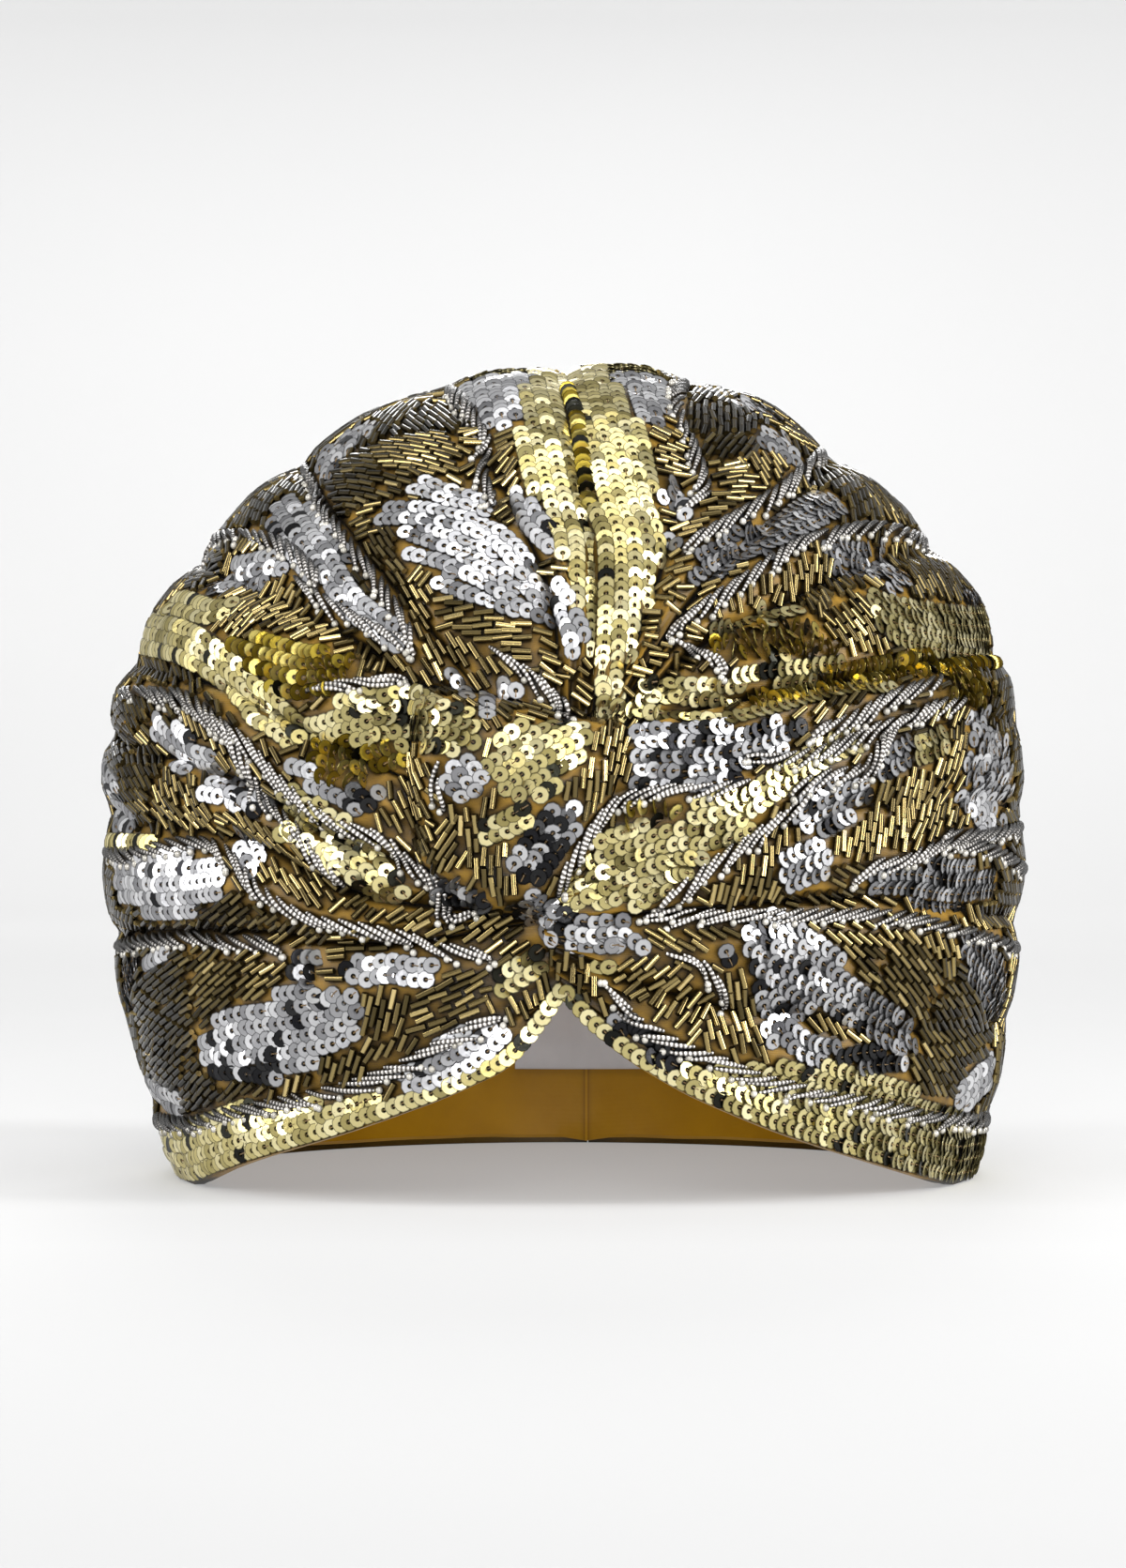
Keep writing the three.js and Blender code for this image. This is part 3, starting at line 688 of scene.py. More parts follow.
def satin(name, dark, light, thread, roughness, sheen, painted_bead_shade=False, seam_at=None):
    """Satin: slow noise between two colours, fine woven threads and soft creases in the bump.
    With painted bead shade the satin is darker close to the beads. A seam is a line at one place
    across: lighter in its middle, with painted shade just beside it."""
    material, tree, shader = new_material(name)
    place_node = node(tree, "ShaderNodeTexCoord")
    slow = node(tree, "ShaderNodeTexNoise", Scale=38.0, Detail=4.0, Roughness=0.6)
    tree.links.new(place_node.outputs["Object"], slow.inputs["Vector"])
    colour = colour_ramp(tree, slow.outputs["Fac"], [(0.3, dark), (0.7, light)])
    if painted_bead_shade:
        # Painted shade: the satin darkens where a bead lies within a few millimetres above it.
        around = node(tree, "ShaderNodeAmbientOcclusion", Distance=PAINTED_SHADE_REACH * MM, samples=8)
        colour = darkened(tree, colour, around.outputs["AO"], PAINTED_SHADE_NEAR_BEADS)
    # Painted shade beside the lining's seam, round a thin lighter line in its middle.
    if seam_at is not None:
        apart = node(tree, "ShaderNodeSeparateXYZ")
        tree.links.new(place_node.outputs["Object"], apart.inputs["Vector"])
        moved = node(tree, "ShaderNodeMath", operation="SUBTRACT")
        moved.inputs[1].default_value = seam_at * MM
        gap = node(tree, "ShaderNodeMath", operation="ABSOLUTE")
        wide = node(tree, "ShaderNodeMath", operation="MULTIPLY")
        wide.inputs[1].default_value = 1 / (SEAM_REACH * MM)
        tree.links.new(apart.outputs["X"], moved.inputs[0])
        tree.links.new(moved.outputs[0], gap.inputs[0])
        tree.links.new(gap.outputs[0], wide.inputs[0])
        colour = darkened(tree, colour, wide.outputs[0], SEAM_LINE_AND_PAINTED_SHADE)
    tree.links.new(colour, shader.inputs["Base Color"])
    weave = node(tree, "ShaderNodeTexWave", Scale=thread, Distortion=1.5, Detail=1.0)
    weave.bands_direction = "Z"
    tree.links.new(place_node.outputs["Object"], weave.inputs["Vector"])
    crease = node(tree, "ShaderNodeTexNoise", Scale=120.0, Detail=3.0)
    tree.links.new(place_node.outputs["Object"], crease.inputs["Vector"])
    fine = node(tree, "ShaderNodeBump", Strength=0.25, Distance=0.0001)
    tree.links.new(weave.outputs["Fac"], fine.inputs["Height"])
    broad = node(tree, "ShaderNodeBump", Strength=0.5, Distance=0.0006)
    tree.links.new(crease.outputs["Fac"], broad.inputs["Height"])
    tree.links.new(fine.outputs["Normal"], broad.inputs["Normal"])
    tree.links.new(broad.outputs["Normal"], shader.inputs["Normal"])
    shader.inputs["Roughness"].default_value = roughness
    shader.inputs["Sheen Weight"].default_value = sheen
    shader.inputs["Sheen Roughness"].default_value = 0.35
    shader.inputs["Specular IOR Level"].default_value = 0.22
    return material


ground_satin = satin("ground_satin", (0.18, 0.10, 0.010), (0.33, 0.185, 0.024),
                     thread=900.0, roughness=0.42, sheen=0.03, painted_bead_shade=True)
lining_satin = satin("lining_satin", (0.30, 0.145, 0.002), (0.40, 0.205, 0.004),
                     thread=1100.0, roughness=0.45, sheen=0.0, seam_at=SEAM_PLACE)
label_satin = satin("label_weave", (0.54, 0.54, 0.56), (0.66, 0.66, 0.69),
                    thread=1400.0, roughness=0.6, sheen=0.1)
print("three kinds of cloth")

# %% Cloth gets its finish
for name, piece in cloth.items():
    piece.data.materials.append(ground_satin)
    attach(piece, "root")
    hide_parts(name)
for piece, stands_for, finish, slot in (
    (lining, "lining", lining_satin, "lining_satin"),
    (label, "label", label_satin, "label_weave"),
):
    piece.data.materials.append(finish)
    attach(piece, "root")
    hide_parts(stands_for)
print("cloth finished")

# %% [markdown]
# ## Cut sizes
# Each piece of cloth has the size it was cut to, and its area is worked out as the smaller of
# half its wall's surface and most of the cut. The pleats take up width at the knot, so the crown
# and the drapes are cut as broad strips that are gathered at both ends.

# %% Cut cloth
CUTS = {
    "crown": (0.230, 0.290),
    "left_drape": (0.120, 0.300),
    "right_drape": (0.125, 0.300),
    "twist_knot": (0.062, 0.062),
}
LINING_CUT = (0.330, 0.330)
USED_OF_CUT = 0.98
for name, flat in CUTS.items():
    area = min(half_surface(cloth[name]), USED_OF_CUT * flat[0] * flat[1])
lining_area = min(half_surface(lining), USED_OF_CUT * LINING_CUT[0] * LINING_CUT[1])
print("declared", len(CUTS) + 2, "sheets")

# %% [markdown]
# ## A map of the cloth
# Beads lie on cloth, so every bead asks the same question: how far out is the cloth in this
# direction? Rays shot inwards at the finished walls answer it once, for a fine net of turns and
# rises. After that any number of beads can be placed at once, by blending the four nearest
# answers.

# %% Map of the cloth
CENTRE = np.array([0.0, 0.0, CENTRE_HEIGHT])
MAP_STEP = 0.5
MAP_LOW = -50.0
PROBE_RADIUS = 165.0
PROBE_DEPTH = 82.0
MAP_TURNS = np.arange(-180, 180, MAP_STEP)
MAP_RISES = np.arange(MAP_LOW, 90 + MAP_STEP / 2, MAP_STEP)
HOLE_ROUNDS = 4
LEAST_REACH = 60.0


def cloth_tree():
    """Search tree over the triangles of all four cloth walls."""
    points, faces, shift = [], [], 0
    for piece in cloth.values():
        mesh = piece.data
        flat = np.empty(len(mesh.vertices) * 3)
        mesh.vertices.foreach_get("co", flat)
        points.append(flat.reshape(-1, 3))
        mesh.calc_loop_triangles()
        corners = np.empty(len(mesh.loop_triangles) * 3, int)
        mesh.loop_triangles.foreach_get("vertices", corners)
        faces.append(corners.reshape(-1, 3) + shift)
        shift += len(mesh.vertices)
    return BVHTree.FromPolygons(np.concatenate(points).tolist(), np.concatenate(faces).tolist())


def measure_cloth():
    """Distance to the cloth for each turn and rise. Hair gaps take their neighbours' mean."""
    tree = cloth_tree()
    way = direction(MAP_TURNS[None, :], MAP_RISES[:, None])
    starts = ((CENTRE + way * PROBE_RADIUS) * MM).reshape(-1, 3).tolist()
    ways = (-way).reshape(-1, 3).tolist()
    hits = [tree.ray_cast(start, aim, PROBE_DEPTH * MM)[3] for start, aim in zip(starts, ways)]
    depth = np.array([np.nan if hit is None else hit for hit in hits]) / MM
    found = (PROBE_RADIUS - depth).reshape(way.shape[:2])
    for _ in range(HOLE_ROUNDS):
        above, below = np.concatenate([found[1:], found[-1:]]), np.concatenate([found[:1], found[:-1]])
        around = np.stack([np.roll(found, 1, 1), np.roll(found, -1, 1), above, below])
        known = ~np.isnan(around)
        mean = np.where(known, around, 0).sum(0) / np.maximum(known.sum(0), 1)
        found = np.where(np.isnan(found) & known.any(0), mean, found)
    return np.nan_to_num(found, nan=0.0)


CLOTH_MAP = measure_cloth()
EDGE_RISE = np.degrees(np.arcsin(rim_direction(MAP_TURNS)[:, 2]))
print("cloth map:", CLOTH_MAP.shape, "cells, reach", round(float(CLOTH_MAP.max()), 1), "mm")

# %% Reading the map
NORMAL_REACH = 0.012


def turn_rise(way):
    """Turn and rise in degrees of a direction."""
    turn = np.degrees(np.arctan2(way[..., 0], -way[..., 1]))
    return turn, np.degrees(np.arcsin(np.clip(way[..., 2], -1, 1)))


def skin(way):
    """Distance to the cloth, blended from the four nearest cells of the map."""
    turn, rise = turn_rise(way)
    u = (turn + 180) / MAP_STEP
    v = np.clip((rise - MAP_LOW) / MAP_STEP, 0, len(MAP_RISES) - 1.001)
    u0, v0 = np.floor(u).astype(int), np.floor(v).astype(int)
    fu, fv = u - u0, v - v0
    u0 = u0 % len(MAP_TURNS)
    u1 = (u0 + 1) % len(MAP_TURNS)
    low = CLOTH_MAP[v0, u0] * (1 - fu) + CLOTH_MAP[v0, u1] * fu
    high = CLOTH_MAP[v0 + 1, u0] * (1 - fu) + CLOTH_MAP[v0 + 1, u1] * fu
    return low * (1 - fv) + high * fv


def on_skin(way, lift=0.0):
    """Point on the cloth along a direction, lifted outward by some millimetres."""
    return place(way, skin(way) + lift)


def way_to(points):
    """Direction from the centre to points."""
    return unit(points - CENTRE)


def above_edge(way):
    """Rise in degrees above the lower edge at the same turn."""
    turn, rise = turn_rise(way)
    return rise - np.interp(turn, MAP_TURNS, EDGE_RISE, period=360)


def on_cloth(way, margin):
    """Whether there is cloth in a direction, with at least a margin in degrees down to its edge."""
    return (above_edge(way) > margin) & (skin(way) > LEAST_REACH)


def skin_normal(way):
    """Outward normal: cross product of two short steps on the cloth, square to the direction."""
    helper = np.where(np.abs(way[..., 2:]) > 0.9, np.array([1.0, 0, 0]), np.array([0, 0, 1.0]))
    first = unit(np.cross(helper, way))
    second = np.cross(way, first)
    a = on_skin(unit(way + first * NORMAL_REACH)) - on_skin(unit(way - first * NORMAL_REACH))
    b = on_skin(unit(way + second * NORMAL_REACH)) - on_skin(unit(way - second * NORMAL_REACH))
    return unit(np.cross(a, b))


print("the cloth over the brow faces", skin_normal(direction(0.0, 0.0)[None])[0].round(2))

# %% [markdown]
# ## From the front view to the cloth
# The embroidery was drawn for the front, so its chart is drawn there too. A line of sight runs
# from the camera through each chart point, in steps, and the bead goes where this line first
# enters the cloth. A point that just misses the cloth moves to where the line comes nearest.

# %% Lines of sight
SIGHT_STEPS = np.arange(-140.0, 25.0, 1.5)
LARGEST_STEP_IN = 7.0
NEAR_MISS = 5.0


def front_way(across, up):
    """Directions of chart points, and whether their line of sight meets or grazes the cloth."""
    chart = np.stack([across, np.zeros_like(across), up], -1)
    sight = unit(chart - camera_at)
    depth = np.linalg.norm(chart - camera_at, axis=-1)[:, None] + SIGHT_STEPS
    offset = camera_at + sight[:, None] * depth[..., None] - CENTRE
    gap = np.linalg.norm(offset, axis=-1) - skin(unit(offset))
    enters = (gap[:, 1:] < 0) & (gap[:, :-1] >= 0) & (gap[:, :-1] < LARGEST_STEP_IN)
    step = np.argmax(enters, axis=1)
    met = enters.any(axis=1)
    row = np.arange(len(step))
    before, after = gap[row, step], gap[row, step + 1]
    share = np.where(met, before / np.maximum(before - after, 1e-9), 0)
    closest = np.argmin(np.abs(gap), axis=1)
    entry = depth[row, step] + share * (SIGHT_STEPS[1] - SIGHT_STEPS[0])
    best = np.where(met, entry, depth[row, closest])
    way = unit(camera_at + sight * best[:, None] - CENTRE)
    return way, met | (np.abs(gap[row, closest]) < NEAR_MISS)


print("a point above the brow lies at", front_way(np.array([0.0]), np.array([100.0]))[0].round(2))

# %% [markdown]
# ## Reading the chart
# The chart's points were read in enlarged parts of the front view, and listed. So
# each part has its upper left corner, in pixels of the whole view, and its enlargement. From them
# come millimetres across from the middle and up from the floor. The part P is the whole view, and
# the part mm holds plain millimetres for lines that were moved onto a fold afterwards.

# %% Chart parts
CHART_PARTS = {"P": (0, 0, 1.0), "A": (100, 380, 3.015), "B": (580, 380, 3.015), "C": (100, 780, 3.015),
               "D": (580, 780, 3.015), "E": (380, 680, 3.564)}
MIDDLE_COLUMN = 600.0
FLOOR_ROW = 1250.5
PIXELS_PER_MM = 4.7


def from_chart(part, stops):
    """Stops read in one part of the chart, as millimetres across and up: add the part's corner to
    the reading over its enlargement, then divide by the pixels of a millimetre."""
    stops = np.array(stops, float)
    if part != "mm":
        left, top, zoom = CHART_PARTS[part]
        stops[:, 0] = (left + stops[:, 0] / zoom - MIDDLE_COLUMN) / PIXELS_PER_MM
        stops[:, 1] = (FLOOR_ROW - top - stops[:, 1] / zoom) / PIXELS_PER_MM
    return stops


print("corner of part A in millimetres:", from_chart("A", [(0, 0)])[0].round(1))

# %% [markdown]
# ## Lines on the cloth
# A band or a vine follows a line. The line's track knows its length, its heading and the direction
# sideways on the cloth, so that a bead can be placed by two numbers: how far along the line, and
# how far beside it.

# %% Lines on the cloth
STEPS_PER_STOP = 24
NORMAL_BLUR = 5
TINY = 1e-9


def chart_line(stops):
    """Smooth line through chart stops (across, up, and any further values), as directions on the
    cloth and the further values along it."""
    stops = np.asarray(stops, float)
    dense = curve_through(stops, np.linspace(0, 1, STEPS_PER_STOP * (len(stops) - 1) + 1))
    way, good = front_way(dense[:, 0], dense[:, 1])
    return way[good], dense[good, 2:]


class Track:
    """A line on the cloth with its length, its heading and its sideways direction."""

    def __init__(self, way):
        self.points = on_skin(way)
        steps = np.linalg.norm(np.diff(self.points, axis=0), axis=1)
        self.at = np.concatenate([[0], np.cumsum(steps)])
        self.length = self.at[-1]
        blur, spare = np.ones(NORMAL_BLUR) / NORMAL_BLUR, NORMAL_BLUR // 2
        normal = skin_normal(way)
        padded = np.concatenate([normal[:1]] * spare + [normal] + [normal[-1:]] * spare)
        normal = unit(np.stack([np.convolve(padded[:, k], blur, "valid") for k in range(3)], -1))
        self.along = unit(np.gradient(self.points, axis=0) + TINY)
        self.side = unit(np.cross(normal, self.along))

    def pick(self, values, station):
        """Values at stations along the line."""
        return np.stack([np.interp(station, self.at, values[:, k]) for k in range(values.shape[1])], -1)

    def offset_way(self, station, offset):
        """Directions of points a sideways offset from the line, left of its heading if positive."""
        start = self.pick(self.points, station)
        return way_to(start + self.pick(self.side, station) * np.asarray(offset)[..., None])


brow_line = Track(chart_line([(-40, 60), (0, 60), (40, 60)])[0])
print("80 mm across the front are", round(float(brow_line.length), 1), "mm along the cloth")

# %% [markdown]
# ## Chart of the sequin bands
# Each band is a line of stops: across and down in its part of the chart, and the band's width
# there in millimetres. Before them stand how far its discs tip up, in degrees, the share of discs
# with a painted dark reflection and the part. Discs of a band that lies in a fold stand nearly on
# edge, and they get a painted reflection: deep amber on gold, darker grey on silver.

# %% Sequin bands of the front
GOLD_BANDS = {
    "slit": (72, 0.4, "mm", [(1, 177, 2), (3, 171, 2), (4, 164, 2), (5, 157, 2), (6, 150, 2)]),
    "crown": (10, 0.03, "P", [(603, 397, 19), (624, 476, 31), (640, 540, 28), (652, 576, 25),
                              (653, 645, 17), (651, 695, 11), (649, 731, 7), (652, 765, 4)]),
    "knot_patch": (10, 0.02, "E", [(885, 345, 6), (760, 400, 14), (640, 475, 18), (540, 560, 12)]),
    "knot_left": (14, 0.1, "E", [(470, 375, 8), (330, 335, 11), (200, 335, 10), (60, 335, 8)]),
    "knot_under": (14, 0.5, "E", [(470, 740, 4), (570, 710, 5), (660, 660, 4)]),
    "knot_tail": (12, 0.12, "A", [(700, 1215, 7), (790, 1185, 10), (880, 1150, 11), (970, 1105, 9),
                                  (1090, 1115, 8), (1200, 1165, 6)]),
    "tail_glitter": (65, 0.05, "A", [(700, 1265, 7), (800, 1300, 11), (900, 1295, 10), (1010, 1270, 5)]),
    "left_ribbon": (12, 0.02, "A", [(165, 890, 8), (300, 925, 11), (420, 1005, 11), (520, 1095, 10),
                                    (610, 1170, 9), (680, 1235, 6)]),
    "left_glitter": (62, 0.1, "A", [(440, 950, 9), (560, 985, 12), (680, 1015, 13), (840, 1000, 6)]),
    "side_cluster": (15, 0.05, "mm", [(-91, 126, 6), (-87, 129, 7), (-80, 127, 6), (-75, 128, 4)]),
    "hub_left": (20, 0.15, "E", [(530, 1315, 4), (620, 1265, 7), (710, 1205, 5)]),
    "hub_right": (20, 0, "E", [(900, 1245, 3), (990, 1245, 3)]),
    "hub_low": (25, 0.2, "mm", [(-1, 42, 4), (0, 38, 4), (1, 33, 4)]),
    "side_patch": (10, 0, "B", [(1035, 800, 6), (1150, 850, 14), (1300, 885, 15), (1430, 895, 13)]),
    "temple_row": (12, 0.05, "B", [(520, 885, 3), (600, 870, 4), (700, 840, 4), (815, 815, 4)]),
    "temple_glitter": (60, 0.2, "B", [(520, 925, 4), (640, 915, 7), (800, 900, 8), (960, 955, 4)]),
    "temple_low": (14, 0.05, "B", [(590, 1035, 5), (700, 1015, 7), (830, 1000, 8), (965, 985, 4)]),
    "temple_foot": (16, 0.05, "B", [(300, 1085, 4), (430, 1075, 6), (560, 1085, 6), (640, 1080, 4)]),
    "seam_glitter": (68, 0.05, "B", [(640, 1115, 4), (850, 1060, 4), (1100, 1010, 4), (1300, 978, 5),
                                     (1440, 972, 6)]),
    "drape_row": (10, 0, "mm", [(14, 105, 3), (24, 104, 4), (35, 103, 4), (45, 105, 4), (56, 108, 5),
                                (66, 110, 5), (75, 110, 4)]),
    "drape_upper": (10, 0.02, "D", [(640, 240, 4), (720, 180, 6), (820, 120, 7), (900, 60, 6),
                                    (1010, 20, 5)]),
    "drape_patch": (10, 0, "mm", [(0, 61, 5), (8, 66, 14), (17, 70, 18), (25, 73, 14), (32, 73, 8)]),
    "drape_band": (10, 0, "D", [(470, 300, 12), (580, 280, 12), (680, 230, 9), (740, 190, 5)]),
    "drape_glitter": (45, 0.05, "D", [(250, 275, 4), (340, 260, 6), (430, 285, 5)]),
    "drape_side": (12, 0, "D", [(1180, 65, 5), (1230, 50, 6), (1290, 20, 5)]),
    "side_ladder": (42, 0.1, "B", [(1290, 1045, 7), (1360, 1060, 8), (1435, 1075, 6)]),
    "left_ladder": (24, 0.15, "C", [(60, 350, 4), (200, 355, 3)]),
    "left_strip": (22, 0.08, "C", [(600, 195, 4), (700, 275, 9), (800, 370, 12), (900, 465, 12),
                                   (980, 540, 7)]),
}
SILVER_BANDS = {
    "spray_1": (8, 0, "A", [(1035, 415, 4), (1150, 450, 5), (1270, 490, 5)]),
    "spray_2": (8, 0, "A", [(925, 510, 4), (1060, 510, 5), (1200, 540, 6), (1320, 600, 6), (1400, 700, 5)]),
    "spray_3": (8, 0, "A", [(1010, 550, 4), (1120, 590, 5), (1260, 640, 6), (1390, 720, 6),
                            (1450, 800, 4)]),
    "spray_4": (8, 0, "A", [(1020, 620, 4), (1140, 650, 5), (1270, 720, 6), (1400, 800, 5),
                            (1470, 840, 4)]),
    "spray_5": (8, 0, "A", [(1110, 710, 4), (1200, 740, 4), (1320, 790, 4), (1455, 835, 3)]),
    "spray_edge": (25, 0.15, "A", [(1375, 430, 4), (1390, 500, 4), (1430, 560, 5), (1480, 600, 4)]),
    "spray_foot": (15, 0.1, "A", [(1470, 740, 4), (1510, 800, 7), (1545, 880, 7), (1560, 950, 5)]),
    "top_left": (10, 0, "A", [(1280, 75, 14), (1300, 150, 13), (1320, 235, 6)]),
    "top_right": (10, 0, "B", [(300, 65, 12), (320, 140, 12), (345, 220, 7)]),
    "left_leaf": (10, 0.05, "A", [(610, 470, 9), (670, 560, 13), (745, 660, 11), (820, 780, 8),
                                  (900, 850, 6), (1000, 920, 3)]),
    "left_low_leaf": (10, 0.03, "A", [(380, 765, 5), (460, 715, 11), (550, 685, 9), (625, 690, 4)]),
    "left_limb": (14, 0.12, "A", [(870, 225, 8), (790, 310, 11), (750, 400, 5)]),
    "drop_1": (8, 0, "A", [(1145, 1015, 3), (1205, 1095, 3)]),
    "drop_2": (8, 0.4, "A", [(1340, 1040, 3), (1335, 1090, 4)]),
    "drop_3": (8, 0, "A", [(1265, 1085, 3), (1265, 1165, 3)]),
    "knot_silver": (18, 0.1, "E", [(350, 470, 6), (430, 560, 9), (480, 600, 6)]),
    "knot_dark": (10, 0.55, "E", [(850, 620, 4), (790, 690, 8), (730, 760, 9), (660, 860, 9),
                                  (620, 930, 6)]),
    "hub": (14, 0.3, "E", [(620, 990, 7), (760, 1090, 8), (880, 1130, 9), (1000, 1120, 8),
                           (1090, 1175, 4)]),
    "right_top": (12, 0, "B", [(620, 150, 4), (700, 180, 5), (765, 210, 4)]),
    "right_limb": (12, 0.03, "B", [(700, 245, 5), (755, 295, 9), (775, 350, 5)]),
    "right_cluster": (20, 0.1, "B", [(385, 430, 5), (440, 480, 7), (450, 530, 4)]),
    "right_edge": (12, 0, "B", [(378, 565, 3), (392, 625, 4)]),
    "right_leaf": (10, 0.02, "B", [(470, 725, 6), (560, 655, 8), (680, 600, 9), (800, 530, 11),
                                   (925, 460, 11)]),
    "right_low_leaf": (12, 0, "B", [(875, 610, 4), (980, 660, 9), (1080, 690, 10), (1150, 700, 7)]),
    "right_low_limb": (15, 0, "B", [(1330, 755, 4), (1390, 800, 5)]),
    "drape_silver": (12, 0.3, "P", [(674, 806, 15), (740, 806, 15), (800, 796, 11), (855, 774, 4)]),
    "side_column": (12, 0.03, "D", [(1390, -76, 7), (1410, 30, 12), (1430, 110, 15), (1430, 200, 17),
                                    (1380, 290, 10)]),
    "drape_leaf_1": (12, 0.1, "D", [(800, 300, 5), (880, 250, 11), (960, 210, 11), (1040, 185, 6)]),
    "drape_leaf_2": (14, 0.25, "D", [(1060, 120, 4), (1120, 90, 6), (1200, 35, 5)]),
    "drape_leaf_3": (12, 0, "D", [(740, 470, 6), (820, 435, 10), (925, 395, 7)]),
    "drape_leaf_4": (12, 0.12, "D", [(1040, 480, 4), (1180, 480, 10), (1310, 500, 11), (1440, 485, 9)]),
    "low_leaf_1": (12, 0.06, "D", [(640, 640, 8), (760, 700, 16), (880, 790, 14), (1000, 880, 12),
                                   (1110, 950, 9), (1190, 1010, 4)]),
    "low_leaf_2": (12, 0.15, "D", [(700, 780, 6), (730, 880, 10), (790, 970, 9), (860, 1020, 8),
                                   (930, 1030, 5)]),
    "low_leaf_dark": (12, 0.85, "D", [(930, 1070, 5), (1050, 1045, 6), (1160, 1040, 3)]),
    "low_leaf_tip": (12, 0.5, "D", [(575, 690, 3), (595, 735, 3)]),
    "low_side": (12, 0.02, "D", [(1330, 670, 6), (1400, 740, 12), (1450, 820, 12), (1460, 890, 8)]),
    "corner_right": (14, 0.05, "D", [(1440, 1060, 6), (1400, 1120, 9), (1320, 1190, 7)]),
    "brow_left": (12, 0.03, "C", [(985, 1120, 7), (1100, 1090, 10), (1220, 1030, 11), (1310, 950, 5)]),
    "brow_right": (12, 0.8, "D", [(210, 900, 6), (280, 1000, 10), (370, 1045, 9), (470, 1085, 6)]),
    "brow_right_low": (12, 0.1, "D", [(480, 1145, 4), (550, 1105, 6)]),
    "left_drape_1": (14, 0.04, "C", [(200, -26, 5), (230, 10, 7), (310, 70, 10), (400, 100, 5)]),
    "left_drape_2": (12, 0, "C", [(355, 175, 6), (425, 190, 5)]),
    "left_drape_3": (12, 0.05, "C", [(445, 170, 8), (500, 200, 10), (550, 255, 5)]),
    "left_limb_1": (14, 0.12, "C", [(45, 130, 4), (80, 220, 9), (135, 290, 9)]),
    "left_drape_4": (12, 0.04, "C", [(80, 480, 10), (180, 490, 15), (290, 485, 14), (415, 470, 9)]),
    "left_row": (10, 0, "C", [(490, 330, 3), (500, 370, 4), (530, 445, 4)]),
    "left_drape_5": (20, 0.12, "C", [(620, 105, 5), (740, 140, 8), (850, 195, 10), (900, 250, 6)]),
    "tuck": (55, 0.35, "C", [(1090, 490, 6), (1180, 520, 8), (1280, 565, 5)]),
    "low_row": (10, 0.08, "C", [(820, 735, 4), (870, 770, 5), (945, 755, 5), (1030, 770, 5),
                                (1100, 770, 4)]),
    "low_crushed": (50, 0.25, "C", [(640, 745, 7), (720, 745, 5)]),
    "low_left_leaf": (12, 0.04, "C", [(350, 1025, 5), (470, 975, 13), (620, 955, 17), (770, 925, 15),
                                      (850, 860, 7)]),
    "low_left_dark": (12, 0.85, "C", [(380, 1065, 3), (500, 1075, 5), (610, 1090, 3)]),
    "low_left_top": (40, 0.2, "C", [(600, 865, 6), (710, 820, 5)]),
    "left_limb_2": (14, 0.03, "C", [(145, 720, 8), (120, 790, 9), (115, 880, 7)]),
    "left_limb_3": (14, 0.1, "C", [(170, 745, 4), (240, 705, 4)]),
    "corner_left": (14, 0.1, "C", [(175, 1120, 6), (230, 1170, 8), (285, 1195, 5)]),
}
print("bands:", len(GOLD_BANDS), "gold and", len(SILVER_BANDS), "silver")

# %% [markdown]
# ## Sequins
# A sequin is a flat disc of 4 mm with a hole, stitched so that each one covers the back of the
# one before, like scales. Rows follow the band's line 3.1 mm apart. Along a row a disc comes
# every 2.3 mm, with its rear edge tipped up onto its neighbour. All chance in this lesson comes
# from one generator with a fixed seed, so every run gives the same turban.

# %% Sequin rows
dice = np.random.default_rng(8)
ROW_PITCH = 3.1
DISC_PITCH = 2.3
FIRST_DISC = 0.4
ROW_OVERHANG = 0.2
LEAST_HALF_ROW = 0.51
# Tones of the painted reflection on discs in a fold, of plain discs, and of the painted dark reflection.
PAINTED_REFLECTION_TONE = (0.86, 1.0)
PLAIN_TONE = (0.14, 0.8)
PAINTED_DARK_TONE = (0.0, 0.06)
TIPPED = 35.0
LOOSE_IN_FOLD = 3.0
TIP_SPREAD = 4.5
ROLL_SPREAD = 5.5


def rows_on(track, width):
    """Directions and headings of the discs of a band: stations along by offsets across."""
    count = max(1, int(round(width.max() / ROW_PITCH)))
    offset = (np.arange(count) - (count - 1) / 2) * ROW_PITCH
    station = np.arange(FIRST_DISC * DISC_PITCH, track.length, DISC_PITCH)
    stations, offsets = np.meshgrid(station, offset, indexing="ij")
    stations = stations + 0.5 * DISC_PITCH * (np.arange(count) % 2)
    half = np.interp(stations, track.at, width) / 2
    room = np.maximum(half - ROW_OVERHANG * ROW_PITCH, LEAST_HALF_ROW * ROW_PITCH)
    inside = (np.abs(offsets) <= room) & (stations < track.length)
    stations, offsets = stations[inside], offsets[inside]
    way = track.offset_way(stations, offsets)
    return way, track.pick(track.along, stations)


def discs(way, heading, tip, painted_dark_share):
    """A record for each disc: its direction, heading, tip and tone."""
    count = len(way)
    # Discs in a fold get the painted reflection tones, and a share of the discs the painted dark reflection.
    tone = dice.uniform(*(PAINTED_REFLECTION_TONE if tip > TIPPED else PLAIN_TONE), count)
    tone = np.where(dice.random(count) < painted_dark_share, dice.uniform(*PAINTED_DARK_TONE, count), tone)
    loose = LOOSE_IN_FOLD if tip > TIPPED else 1.0
    tips = tip + dice.normal(0, TIP_SPREAD * loose, count)
    rolls = dice.normal(0, ROLL_SPREAD * loose, count)
    return {"way": way, "heading": heading, "tip": tips, "tone": tone, "roll": rolls}


print("discs in 10 cm of a row:", int(100 / DISC_PITCH))

# %% [markdown]
# ## Keeping clear
# No bead may sit on another. With thousands of beads the distance from each to every other is
# slow to find, so the points are sorted and cut into slabs, and each slab looks only at its
# neighbours.

# %% Nearest distances
SLAB_POINTS = 400


def squares_apart(points, others):
    """Square of the distance of every point to every other: a^2 + b^2 - 2ab."""
    points, others = points.astype(np.float32), others.astype(np.float32)
    return (points ** 2).sum(1)[:, None] + (others ** 2).sum(1) - 2 * points @ others.T


